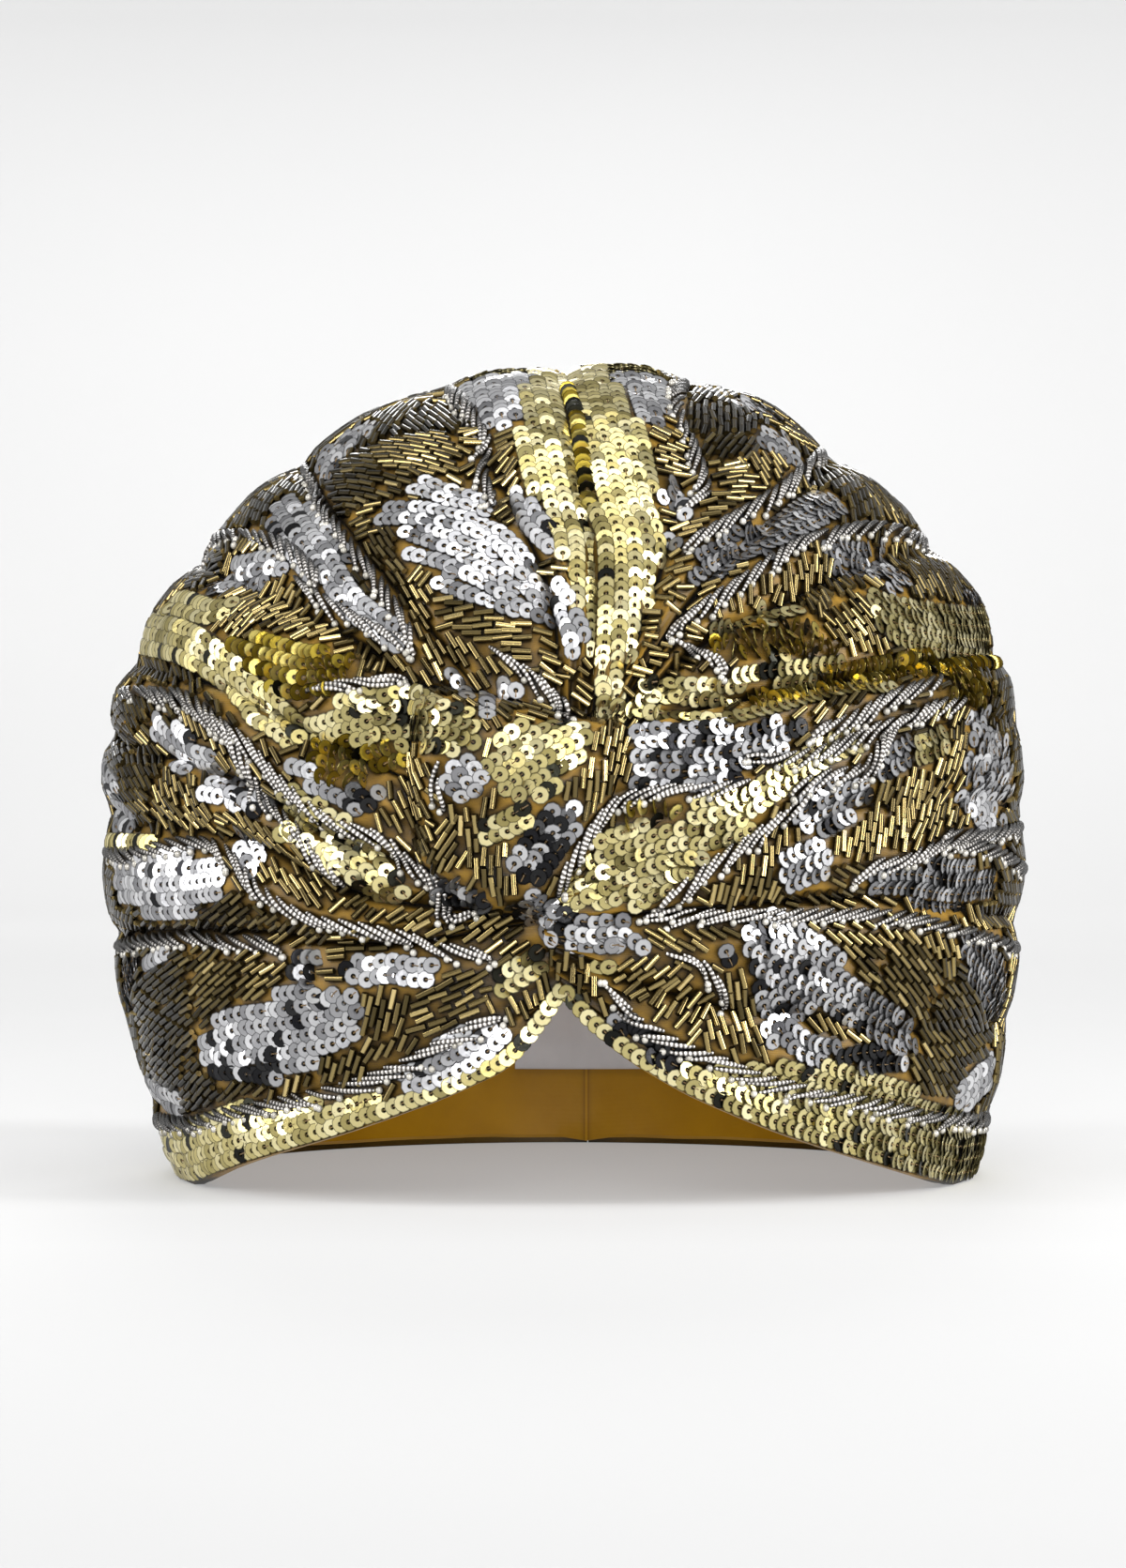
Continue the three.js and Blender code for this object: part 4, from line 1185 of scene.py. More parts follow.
def nearest(points, others, reach=6.0):
    """Distance from each point to the nearest of the others, and at most the reach. Points are
    taken in slabs along x, and each slab looks only at others less than the reach away in x."""
    found = np.full(len(points), reach)
    others = others[np.argsort(others[:, 0])]
    order = np.argsort(points[:, 0])
    for block in np.array_split(order, len(order) // SLAB_POINTS + 1):
        if len(block) == 0:
            continue
        here = points[block]
        low, high = np.searchsorted(others[:, 0], [here[0, 0] - reach, here[-1, 0] + reach])
        if high > low:
            apart = squares_apart(here, others[low:high]).min(1)
            found[block] = np.minimum(np.sqrt(np.maximum(apart, 0)), reach)
    return found


print("of two points 5 and 2 mm away, the nearest:", nearest(np.zeros((1, 3)), np.diag([5.0, 2.0, 0.0])[:2]))

# %% Laying discs
EDGE_MARGIN = 0.55
LEAST_APART = 1.75
laid = {"gold": [], "silver": []}
taken = np.zeros((0, 3))


def keep(record, good):
    """The same record with only the discs that are good."""
    return {key: value[good] for key, value in record.items()}


def lay(kind, record):
    """Adds discs where no earlier band lies and the cloth goes on below them."""
    global taken
    record = keep(record, on_cloth(record["way"], EDGE_MARGIN))
    record = keep(record, nearest(on_skin(record["way"]), taken) > LEAST_APART)
    laid[kind].append(record)
    taken = np.concatenate([taken, on_skin(record["way"])])


print("least distance between discs:", LEAST_APART, "mm")

# %% [markdown]
# ## Rim rows
# Rows of gold discs bind the lower edge: one over the brow, six at the temples and four at the
# back. They are laid first, so nothing else covers them. The table gives how many rows there are
# at each turn.

# %% Rim rows
RIM_ROW_TURN = [-180, -62, -45, -33, -24, -15, 0, 12, 19, 27, 36, 46, 58, 75, 180]
RIM_ROW_COUNT = [3.6, 4.4, 3.6, 2.6, 1.6, 1, 1, 1, 2.4, 4.6, 5.8, 6, 5, 4, 3.6]
FIRST_ROW_UP = 2.7
RIM_STEPS = 721
RIM_TIP = 10
# Share of rim discs with the painted dark reflection.
RIM_PAINTED_DARK_SHARE = 0.06


def rim_row(level):
    """Directions of a row that follows the lower edge at a height above it, all the way round."""
    turn = np.linspace(-180, 180, RIM_STEPS)
    return way_at_height(turn, rim_height(turn) + FIRST_ROW_UP + level * ROW_PITCH)


for level in range(int(max(RIM_ROW_COUNT))):
    row_way = rim_row(level)
    way, heading = rows_on(Track(row_way), np.full(len(row_way), ROW_PITCH))
    enough = np.interp(turn_rise(way)[0], RIM_ROW_TURN, RIM_ROW_COUNT) > level + 0.5
    lay("gold", discs(way[enough], heading[enough], RIM_TIP, RIM_PAINTED_DARK_SHARE))
print("rim discs:", len(taken))

# %% [markdown]
# ## Bands of the front
# A band's width is read from the front as well. Where the cloth turns away the real width is
# larger: width / share shown, where the share is the length of the sideways direction as it shows
# from the front.

# %% Bands of the front
LEAST_SHOWN = 0.5
LEAST_POINTS = 4
for kind, bands in (("gold", GOLD_BANDS), ("silver", SILVER_BANDS)):
    for tip, painted_dark_share, part, stops in bands.values():
        way, extra = chart_line(from_chart(part, stops))
        if len(way) >= LEAST_POINTS:
            track = Track(way)
            shown = np.clip(np.hypot(track.side[:, 0], track.side[:, 2]), LEAST_SHOWN, 1)
            way, heading = rows_on(track, extra[:, 0] / shown)
            lay(kind, discs(way, heading, tip, painted_dark_share))
print("discs with the front:", len(taken))

# %% [markdown]
# ## Sides and back
# The chart ends where the cloth turns away from the front. Behind it the same motifs go on in a
# plain order that follows the pleats: gold bands over the top, and leaves of silver and gold that
# lie one behind the other on every puff.

# %% Leaves along the puffs
SIDE_STEPS = 90
PUFFS = {"crown": 8, "left_drape": 4, "right_drape": 5}
TOP_PUFFS = (("crown", 3), ("crown", 4))


def pleat_line(panel, across, start, end):
    """Directions along a puff: across is the number of the fold plus the share over the puff."""
    creases = PANELS[panel][0]
    share = np.linspace(start, end, SIDE_STEPS)
    puff = min(int(across), len(creases) - 2)
    t = across - puff
    return unit(crease_path(creases[puff], share) * (1 - t) + crease_path(creases[puff + 1], share) * t)


def leaf_width(widest):
    """Width of a leaf along its length: widest * sin(pi s) to the power 0.7, at least one row."""
    share = np.linspace(0, 1, SIDE_STEPS)
    return np.maximum(widest * np.sin(np.pi * share) ** 0.7, ROW_PITCH)


def behind(way, limit=0.0):
    """Whether directions point backwards of the chart's limb."""
    return way[:, 1] > limit


print("puffs:", sum(PUFFS.values()))

# %% Bands of the sides and back
SIDE_TIP = 11
# Share of side discs with the painted dark reflection.
SIDE_PAINTED_DARK_SHARE = 0.05
TOP_RISE = 0.93
TOP_FORWARD = -0.2


def leaves_of(panel, puff):
    """Leaves of one puff: metal, place across the panel, shares at both ends, greatest width."""
    if (panel, puff) in TOP_PUFFS:
        return [("gold", puff + 0.5, 0.36, 0.93, 13)]
    first = 0.46 + 0.045 * (puff % 3)
    near, far = ("silver", "gold") if puff % 2 == 0 else ("gold", "silver")
    return [
        (near, puff + 0.42, first, first + 0.14, 16),
        (far, puff + 0.6, first + 0.18, first + 0.31, 13),
        (near, puff + 0.45, 0.83, 0.95, 9),
    ]


for panel, puffs in PUFFS.items():
    for puff in range(puffs):
        for kind, across, start, end, widest in leaves_of(panel, puff):
            way, heading = rows_on(Track(pleat_line(panel, across, start, end)), leaf_width(widest))
            back_only = behind(way) | (way[:, 2] > TOP_RISE) & (way[:, 1] > TOP_FORWARD)
            lay(kind, discs(way[back_only], heading[back_only], SIDE_TIP, SIDE_PAINTED_DARK_SHARE))
print("discs in all:", len(taken))

# %% [markdown]
# ## Many beads in one mesh
# Thousands of separate objects would be slow, so all beads of a kind become one mesh. The corners
# of one bead are worked out once, moved to every bead at once, and joined by faces whose corner
# numbers are shifted from bead to bead. Most beads are rings of corners joined into a tube. Each
# bead also carries a random number, its tone, which its finish reads later.

# %% Many beads in one mesh
TURNED = [0, 3, 2, 1]


def ring_quads(rings, sides, closed=False):
    """Faces between rings: two corners side by side and the same two on the next ring. Closed
    rings join the last to the first."""
    index = np.arange(sides)
    after = (index + 1) % sides
    here = sides * np.arange(rings if closed else rings - 1)[:, None]
    onward = (here + sides) % (rings * sides)
    return np.stack([here + index, here + after, onward + after, onward + index], -1).reshape(-1, 4)


def end_faces(rings, sides):
    """The two faces that close a tube of rings."""
    index = np.arange(sides)
    return [index[None, :], ((rings - 1) * sides + index)[None, ::-1]]


def around(sides):
    """Angles of the corners of a ring."""
    return 2 * np.pi * np.arange(sides) / sides


def mark(piece, name, values):
    """Puts one value on each point of a mesh."""
    piece.data.attributes.new(name, "FLOAT", "POINT").data.foreach_set("value", values)


def repeat_bead(name, points, face_groups, tone, sharp_angle):
    """One mesh of many alike beads: points has a row of corners for each bead, and each face group
    holds the corner numbers of one bead's faces. The tone attribute is one value for each bead."""
    count, corners = points.shape[:2]
    shift = (np.arange(count) * corners)[:, None, None]
    faces = []
    for group in face_groups:
        faces.extend((np.asarray(group)[None] + shift).reshape(-1, len(group[0])).tolist())
    piece = new_piece(name, points, faces, sharp_angle)
    mark(piece, "tone", np.repeat(tone, corners))
    print(name, count, "beads,", sum(len(face) - 2 for face in faces), "triangles")
    return piece


print("a tube of two rings of six corners has", len(ring_quads(2, 6)), "sides")

# %% Sequin meshes
DISC_RADIUS = 2.0
HOLE_RADIUS = 0.55
DISC_THICKNESS = 0.12
DISC_SIDES = 10
DISC_SHARP = 40
DISC_LIFT = 0.35
LIFT_FLAT = 0.8
LIFT_IN_FOLD = 0.3
FRONT_LIMIT = -0.05


def disc_template():
    """Corners and faces of one sequin: a short tube between the hole and the rim, with both faces."""
    angle = around(DISC_SIDES)
    ring = np.stack([np.cos(angle), np.sin(angle)], -1)
    layers = [(DISC_RADIUS, 0.5), (HOLE_RADIUS, 0.5), (HOLE_RADIUS, -0.5), (DISC_RADIUS, -0.5)]
    corners = [np.concatenate([ring * radius, np.full((DISC_SIDES, 1), level * DISC_THICKNESS)], 1)
               for radius, level in layers]
    return np.concatenate(corners), ring_quads(len(layers), DISC_SIDES, closed=True)


def disc_frames(record):
    """Centre and three axes of each disc. Its normal leans forward by the tip and sideways by the
    roll: n cos tip + a sin tip + s sin roll."""
    normal = skin_normal(record["way"])
    along = record["heading"] - normal * np.sum(record["heading"] * normal, -1, keepdims=True)
    along = unit(along)
    side = np.cross(normal, along)
    tip, roll = np.radians(record["tip"])[:, None], np.radians(record["roll"])[:, None]
    face = unit(normal * np.cos(tip) + along * np.sin(tip) + side * np.sin(roll))
    front = unit(along - face * np.sum(along * face, -1, keepdims=True))
    tip_up = np.abs(np.sin(np.radians(record["tip"])))
    lift = DISC_LIFT + DISC_RADIUS * np.where(record["tip"] > TIPPED, LIFT_IN_FOLD, LIFT_FLAT) * tip_up
    return on_skin(record["way"], lift), np.stack([front, np.cross(face, front), face], 1)


def joined(records):
    """One record of several."""
    return {key: np.concatenate([record[key] for record in records]) for key in records[0]}


def sequin_piece(name, record):
    """Mesh of all discs of a record."""
    centre, axes = disc_frames(record)
    corners, quads = disc_template()
    piece = repeat_bead(name, centre[:, None] + corners @ axes, [quads], record["tone"], DISC_SHARP)
    # The edge value runs from the hole, 0, to the rim, 1; the finish paints shade at both.
    edge = np.repeat([1.0, 0.0, 0.0, 1.0], DISC_SIDES)
    mark(piece, "edge", np.tile(edge, len(centre)))
    return piece


STITCH_RADIUS = 0.16
STITCH_SIDES = 3
STITCH_SHARP = 60


def stitch_piece(name, record):
    """Threads from each hole over the disc's front rim: three-sided bars that end under the rim."""
    centre, axes = disc_frames(record)
    angle = around(STITCH_SIDES)
    stops = np.array([[-0.1, -0.1], [DISC_RADIUS * 0.6, 0.16], [DISC_RADIUS + 0.1, -0.35]])
    corners = np.array([[x, STITCH_RADIUS * np.cos(a), z + STITCH_RADIUS * np.sin(a)]
                        for x, z in stops for a in angle])
    first, last = end_faces(len(stops), STITCH_SIDES)
    faces = [ring_quads(len(stops), STITCH_SIDES), first[:, ::-1], last[:, ::-1]]
    return repeat_bead(name, centre[:, None] + corners @ axes, faces, record["tone"], STITCH_SHARP)


sequins = {}
stitches = {}
for kind in ("gold", "silver"):
    record = joined(laid[kind])
    front = record["way"][:, 1] < FRONT_LIMIT
    for part, chosen in (("front", front), ("back", ~front)):
        sequins[kind, part] = sequin_piece(f"{kind}_sequins_{part}", keep(record, chosen))
    stitches[kind] = stitch_piece(f"{kind}_sequin_stitches", keep(record, front))

# %% [markdown]
# ## Vines
# A vine is a row of short lengths of wire coil, each laid at a slant over the last, like a rope.
# Each coil starts on one side of the line and ends on the other in a small pearl. The sign says
# on which side the pearls lie: left of the line's heading if positive. After it stand the part of
# the chart and the stops read there.

# %% Vine chart
VINES = {
    "top_left": (-1, "mm", [(-28, 178), (-23, 175), (-20, 170), (-17, 165), (-18, 158), (-15, 151)]),
    "left_leaf": (-1, "A", [(660, 320), (700, 400), (750, 500), (830, 610), (930, 740), (1040, 930)]),
    "left_low": (-1, "A", [(320, 655), (400, 590), (500, 580), (600, 600), (680, 660), (740, 725)]),
    "left_inner": (-1, "mm", [(-61, 134), (-53, 129), (-44, 124), (-33, 119)]),
    "top_right": (-1, "mm", [(29, 181), (26, 175), (27, 169), (30, 162), (32, 155), (30, 150)]),
    "right_leaf": (1, "B", [(900, 300), (830, 370), (760, 430), (650, 500), (540, 560), (430, 620)]),
    "right_side": (1, "mm", [(87, 140), (79, 144), (73, 146), (66, 146), (58, 144), (52, 142), (42, 135),
                             (34, 130), (23, 122)]),
    "knot_top": (-1, "mm", [(-17, 118), (-13, 116), (-8, 113), (-2, 108), (2, 104)]),
    "left_seam": (-1, "mm", [(-99, 109), (-92, 109), (-85, 106), (-78, 102), (-72, 98), (-64, 89),
                             (-57, 83), (-50, 79), (-41, 76), (-35, 71), (-29, 66), (-25, 58), (-21, 60)]),
    "left_second": (-1, "mm", [(-93, 109), (-85, 108), (-76, 100), (-67, 85), (-61, 79), (-54, 70),
                               (-48, 65)]),
    "left_middle": (-1, "mm", [(-103, 73), (-96, 73), (-88, 75), (-80, 75), (-75, 72), (-68, 64), (-57, 58),
                               (-46, 56), (-36, 54), (-25, 51), (-16, 50)]),
    "left_lower": (-1, "mm", [(-102, 51), (-96, 53), (-85, 54), (-78, 53), (-71, 53), (-63, 52)]),
    "left_rim": (-1, "mm", [(-92, 13), (-85, 12), (-77, 14), (-67, 16), (-57, 18), (-49, 20), (-41, 23),
                            (-34, 26), (-27, 30), (-20, 34), (-15, 37)]),
    "right_seam": (1, "mm", [(91, 107), (84, 106), (78, 103), (71, 101), (59, 96), (48, 94), (42, 96)]),
    "right_arc": (1, "mm", [(42, 88), (32, 87), (24, 87), (14, 85), (8, 80), (3, 72), (-2, 63)]),
    "right_second": (1, "mm", [(78, 103), (73, 99), (68, 92), (59, 90), (51, 87)]),
    "right_third": (1, "mm", [(86, 112), (79, 110), (72, 107), (65, 103), (56, 100)]),
    "right_inner": (1, "mm", [(56, 85), (48, 80), (41, 75), (35, 71), (30, 67), (26, 64), (21, 61)]),
    "right_middle": (1, "mm", [(104, 51), (95, 54), (87, 56), (80, 58), (70, 59), (59, 59), (49, 59),
                               (38, 59), (27, 59), (19, 60)]),
    "right_limb": (1, "mm", [(104, 69), (98, 73), (91, 75), (84, 74), (77, 71), (70, 70), (65, 68)]),
    "right_limb_low": (1, "mm", [(104, 79), (95, 77), (85, 77)]),
    "right_rim": (1, "mm", [(98, 14), (85, 13), (76, 15), (66, 17), (59, 18), (52, 20), (44, 22), (35, 26),
                            (27, 29), (20, 33), (15, 36), (12, 43)]),
    "right_temple": (-1, "mm", [(24, 120), (29, 118), (33, 117), (37, 114)]),
    "drape_short": (-1, "mm", [(23, 49), (30, 48), (34, 44), (38, 39)]),
    "left_glitter": (-1, "A", [(680, 1095), (780, 1060), (900, 1050), (1005, 1020)]),
    "knot_fold": (-1, "C", [(1095, 95), (1100, 180), (1140, 250)]),
}
VINE_PITCH = 4.2
COIL_REACH = 10.0
COIL_RADIUS = 0.56
COIL_RINGS = 6
COIL_SIDES = 6
PEARL_RADIUS = 0.88
VINE_UPPER = -1.1
VINE_LOWER = 2.0
VINE_EDGE_MARGIN = 1.0
VINE_END = 4.5
COIL_LIFT = 0.75
COIL_ARCH = 0.9
COIL_SHARP = 60
SHORTEST_STEP = 0.25
BACK_VINE_LIMIT = 0.03


def lay_vine(way, side):
    """Centres of the rings of each coil, and the place of its pearl. Along a coil the offset goes
    from one side to the other, and its height is an arch: lift + arch * sin(pi u)."""
    track = Track(way)
    start = np.arange(0, max(track.length - VINE_END, 0.1), VINE_PITCH)
    start = start + dice.uniform(-0.5, 0.5, len(start))
    reach = np.minimum(COIL_REACH + dice.normal(0, 1.3, len(start)), track.length + 2 - start)
    u = np.linspace(0, 1, COIL_RINGS + 1)
    station = np.clip(start[:, None] + reach[:, None] * u, 0, track.length)
    spread = dice.uniform(0.75, 1.25, len(start))[:, None]
    offset = side * (VINE_UPPER + (VINE_LOWER - VINE_UPPER) * u ** 1.3 * spread)
    ring_way = track.offset_way(station.ravel(), offset.ravel()).reshape(*station.shape, 3)
    centres = on_skin(ring_way, COIL_LIFT + COIL_ARCH * np.sin(np.pi * u))
    onward = unit(centres[:, -1] - centres[:, -2] + TINY)
    pearl_way = way_to(centres[:, -1] + onward * (PEARL_RADIUS + 0.3))
    pearls = on_skin(pearl_way, PEARL_RADIUS * 0.95)
    good = on_cloth(ring_way, VINE_EDGE_MARGIN).all(1)
    good &= np.linalg.norm(np.diff(centres, axis=1), axis=-1).min(1) > SHORTEST_STEP
    return centres[good], pearls[good]


def side_vines():
    """Vines of the sides and back, one along each puff, which carry the front's vines on."""
    for panel, puffs in PUFFS.items():
        for puff in range(puffs):
            if (panel, puff) in TOP_PUFFS:
                continue
            start = 0.42 + 0.03 * (puff % 2)
            yield pleat_line(panel, puff + 0.16, start, 0.93), 1 if puff % 2 else -1


routes = [(chart_line(from_chart(part, stops))[0], side) for side, part, stops in VINES.values()]
routes += [(way[behind(way, BACK_VINE_LIMIT)], side) for way, side in side_vines()]
laid_vines = [lay_vine(way, side) for way, side in routes]
coils = np.concatenate([made[0] for made in laid_vines])
pearls = np.concatenate([made[1] for made in laid_vines])
print("coils:", len(coils))

# %% Vine meshes


def coil_piece(name):
    """Tubes round the ring centres: centre + radius (cos a side + sin a up), drawn in at both ends."""
    along = unit(np.gradient(coils, axis=1))
    up = skin_normal(way_to(coils))
    side = unit(np.cross(up, along))
    up = np.cross(along, side)
    angle = around(COIL_SIDES)
    radius = COIL_RADIUS * np.array([0.7] + [1.0] * (COIL_RINGS - 1) + [0.7])[None, :, None, None]
    circle = side[:, :, None] * np.cos(angle)[:, None] + up[:, :, None] * np.sin(angle)[:, None]
    points = (coils[:, :, None] + radius * circle).reshape(len(coils), -1, 3)
    quads = ring_quads(COIL_RINGS + 1, COIL_SIDES)[:, TURNED]
    faces = [quads, *end_faces(COIL_RINGS + 1, COIL_SIDES)]
    piece = repeat_bead(name, points, faces, dice.random(len(coils)), COIL_SHARP)
    steps = np.linalg.norm(np.diff(coils, axis=1), axis=-1)
    run = np.concatenate([np.zeros((len(coils), 1)), np.cumsum(steps, axis=1)], axis=1)
    mark(piece, "run", np.repeat(run[:, :, None], COIL_SIDES, axis=2).ravel())
    return piece


PEARL_SIDES = 8
PEARL_RINGS = 4
PEARL_SHARP = 80


def pearl_piece(name):
    """Small spheres: rings of corners between two poles."""
    rise = np.pi * (np.arange(1, PEARL_RINGS + 1) / (PEARL_RINGS + 1) - 0.5)
    angle = around(PEARL_SIDES)
    level, out = np.sin(rise)[:, None], np.cos(rise)[:, None]
    ring = np.stack(np.broadcast_arrays(out * np.cos(angle), out * np.sin(angle), level), -1)
    corners = np.concatenate([ring.reshape(-1, 3), [[0, 0, -1], [0, 0, 1]]]) * PEARL_RADIUS
    index = np.arange(PEARL_SIDES)
    after = (index + 1) % PEARL_SIDES
    quads = ring_quads(PEARL_RINGS, PEARL_SIDES)
    top = (PEARL_RINGS - 1) * PEARL_SIDES
    south, north = PEARL_RINGS * PEARL_SIDES, PEARL_RINGS * PEARL_SIDES + 1
    fans = np.concatenate([np.stack([after, index, np.full(PEARL_SIDES, south)], -1),
                           np.stack([top + index, top + after, np.full(PEARL_SIDES, north)], -1)])
    return repeat_bead(name, pearls[:, None] + corners, [quads, fans], dice.random(len(pearls)), PEARL_SHARP)


vine_coils = coil_piece("wire_coils")
vine_pearls = pearl_piece("vine_pearls")

# %% [markdown]
# ## Bugle beads
# Everything else is filled with bugle beads: glass tubes of 4.4 mm in short rows like bricks. The
# rows keep one heading over a patch of a few centimetres and then turn. Each part of the chart
# lists its patches: across, down and the heading of the rows, in degrees above the horizontal to
# the right.

# %% Bugle patches
PATCHES = {
    "A": [(600, 430, 65), (950, 200, 60), (1120, 200, -40), (1060, 330, -12), (1000, 430, -20),
          (850, 470, -10), (870, 545, 20), (880, 650, -58), (960, 720, -55), (1060, 700, 50),
          (1035, 810, -60), (1160, 800, 10), (1250, 870, 8), (1350, 950, -5), (1340, 350, 50),
          (1310, 250, 25), (1180, 960, -60), (1290, 1010, -60), (370, 660, 30), (560, 780, 25),
          (640, 840, 15), (740, 930, 25), (890, 990, 65), (200, 1040, 80), (90, 1260, -65)],
    "B": [(330, 240, -20), (420, 330, -20), (520, 110, 40), (560, 230, 85), (620, 300, 50), (700, 350, -60),
          (620, 410, 5), (560, 480, 5), (1000, 450, -75), (1080, 480, -60), (850, 760, -52),
          (1000, 860, -55), (1200, 680, -50), (40, 950, -8), (60, 1030, -10), (200, 1260, 80),
          (900, 1170, 50), (1200, 1060, 15), (1300, 1230, 80)],
    "D": [(150, 120, 85), (1150, 200, 72), (1050, 330, 82), (1250, 330, 70), (660, 440, 88),
          (950, 540, -30), (1250, 580, -60), (1500, 450, -70), (1000, 700, -45), (1150, 800, -52),
          (1300, 950, -58), (1200, 1080, -60), (420, 640, -30), (330, 780, 35), (430, 900, 55),
          (600, 950, -75), (700, 1020, -70), (850, 1080, -65), (1000, 1130, -55), (160, 830, 88),
          (1330, 1300, -85), (600, 1100, -80)],
    "C": [(170, 130, -60), (250, 230, -58), (350, 300, -50), (400, 380, -45), (100, 610, 85),
          (250, 610, 35), (400, 560, 40), (560, 400, -75), (680, 480, -60), (700, 640, 45), (850, 580, 40),
          (250, 800, 40), (400, 760, 42), (250, 1000, 45), (350, 1150, 50), (560, 850, 42), (930, 900, 75),
          (800, 1080, 75), (960, 1050, 60), (1150, 850, 25), (1100, 930, 20), (1380, 880, -75),
          (1280, 390, 88), (1370, 290, 85), (980, 250, -65), (1050, 350, -65), (1140, 440, 60),
          (1050, 600, 35), (1300, 650, 35), (800, 720, 5)],
}
BACK_PATCHES = 260
BACK_HEADINGS = [-62, -48, -30, 35, 50, 68, 84]
BACK_PATCH_LIMIT = -0.12
GOLDEN_TURN = 137.508
LEAST_LEAN = 0.35


def tangent_at(normal, heading):
    """Direction on the cloth that shows at this heading from the front: (cos h, k, sin h), with k
    chosen so that it is square to the normal."""
    flat = np.stack([np.cos(heading), np.zeros_like(heading), np.sin(heading)], -1)
    lean = normal[:, 1]
    lean = np.where(np.abs(lean) < LEAST_LEAN, np.where(lean > 0, LEAST_LEAN, -LEAST_LEAN), lean)
    flat[:, 1] = -(flat * normal).sum(-1) / lean
    flat = flat - normal * (flat * normal).sum(-1, keepdims=True)
    return unit(flat)


def patch_seeds():
    """Directions, normals and row headings of all patches: the chart's, then a spiral of even
    steps over the sides and back."""
    chart = np.concatenate([from_chart(part, stops) for part, stops in PATCHES.items()])
    way, good = front_way(chart[:, 0], chart[:, 1])
    way, heading = way[good], np.radians(chart[good, 2])
    front_along = tangent_at(skin_normal(way), heading)
    step = np.arange(2 * BACK_PATCHES)
    rise = np.degrees(np.arcsin(1 - 2 * (step + 0.5) / (2 * BACK_PATCHES)))
    turns = step * GOLDEN_TURN + dice.uniform(-6, 6, len(step))
    spiral = direction(turns, rise + dice.uniform(-2, 2, len(step)))
    spiral = spiral[(above_edge(spiral) > 0) & behind(spiral, BACK_PATCH_LIMIT)]
    normal = skin_normal(spiral)
    level = unit(np.cross(np.array([0.0, 0, 1]), normal) + 1e-6)
    turn = np.radians(dice.choice(BACK_HEADINGS, len(spiral)))[:, None]
    back_along = level * np.cos(turn) + np.cross(normal, level) * np.sin(turn)
    return np.concatenate([way, spiral]), np.concatenate([front_along, back_along])


SEED_WAY, SEED_ALONG = patch_seeds()
print("patches:", len(SEED_WAY))

# %% Bugle beads
BUGLE_LENGTH = 4.4
BUGLE_RADIUS = 0.74
BUGLE_SIDES = 6
BUGLE_STEP = 4.85
BUGLE_ROW = 1.58
PATCH_REACH = 21.0
CLEAR_OF_DISC = 2.25
CLEAR_OF_COIL = 1.35
MOST_BEND = 1.0
PATCH_BORDER = 0.8
BUGLE_EDGE_MARGIN = 0.7
BUGLE_LIFT = BUGLE_RADIUS + 0.12
BUGLE_SHARP = 70
SLACK_ALONG = 0.22
SLACK_ACROSS = 0.07
SLANT = 0.06
LENGTH_ERROR = 0.9
PATCH_SHARES = (-0.36, 0.36)
CLEAR_SHARES = (0.12, 0.5, 0.88)
DISC_POINTS = on_skin(np.concatenate([record["way"] for kind in laid for record in laid[kind]]), 0.5)
COIL_POINTS = coils[:, ::2].reshape(-1, 3)


def brick_lattice():
    """Steps along and across a patch, in rows of which every second is moved by half a bead."""
    along = np.arange(-int(PATCH_REACH / BUGLE_STEP), int(PATCH_REACH / BUGLE_STEP) + 1) * BUGLE_STEP
    across = np.arange(-int(PATCH_REACH / BUGLE_ROW), int(PATCH_REACH / BUGLE_ROW) + 1)
    a, b = np.meshgrid(along, across, indexing="ij")
    return (a + 0.5 * BUGLE_STEP * (b % 2)).ravel(), (b * BUGLE_ROW).ravel()


def clear_of_rest(first, last, shares):
    """Whether beads keep clear of discs and coils at some shares of their length."""
    good = np.ones(len(first), bool)
    for share in shares:
        probe = first * (1 - share) + last * share
        good &= nearest(probe, DISC_POINTS) > CLEAR_OF_DISC
        good &= nearest(probe, COIL_POINTS) > CLEAR_OF_COIL
    return good


def bugle_ends():
    """Both ends of every bead that lies in its own patch, on the cloth and clear of the rest."""
    seeds = on_skin(SEED_WAY)
    normal = skin_normal(SEED_WAY)
    side = np.cross(normal, SEED_ALONG)
    a, b = brick_lattice()
    owner = np.repeat(np.arange(len(seeds)), len(a))
    slack = dice.normal(0, SLACK_ALONG, len(owner))
    start = np.repeat(dice.uniform(0, 2, len(seeds)), len(a))
    a = np.tile(a, len(seeds)) + slack + start
    b = np.tile(b, len(seeds)) + dice.normal(0, SLACK_ACROSS, len(owner))
    slant = dice.normal(0, SLANT, len(owner))[:, None]
    along = SEED_ALONG[owner] + side[owner] * slant
    middle = seeds[owner] + SEED_ALONG[owner] * a[:, None] + side[owner] * b[:, None]
    good = np.ones(len(owner), bool)
    for share in PATCH_SHARES:
        probe = on_skin(way_to(middle + along * BUGLE_LENGTH * share))
        own = np.linalg.norm(probe - seeds[owner], axis=1)
        good &= own < nearest(probe, seeds, 60.0) + PATCH_BORDER
    middle, along = middle[good], along[good]
    ends = [way_to(middle + along * BUGLE_LENGTH * share) for share in (-0.5, 0.0, 0.5)]
    good = np.ones(len(middle), bool)
    for way in ends:
        good &= on_cloth(way, BUGLE_EDGE_MARGIN)
    first, centre, last = (on_skin(way, BUGLE_LIFT) for way in ends)
    bend = np.linalg.norm(centre - (first + last) / 2, axis=1)
    error = np.abs(np.linalg.norm(last - first, axis=1) - BUGLE_LENGTH)
    good &= (bend < MOST_BEND) & (error < LENGTH_ERROR)
    first, last = first[good], last[good]
    good = clear_of_rest(first, last, CLEAR_SHARES)
    return first[good], last[good]


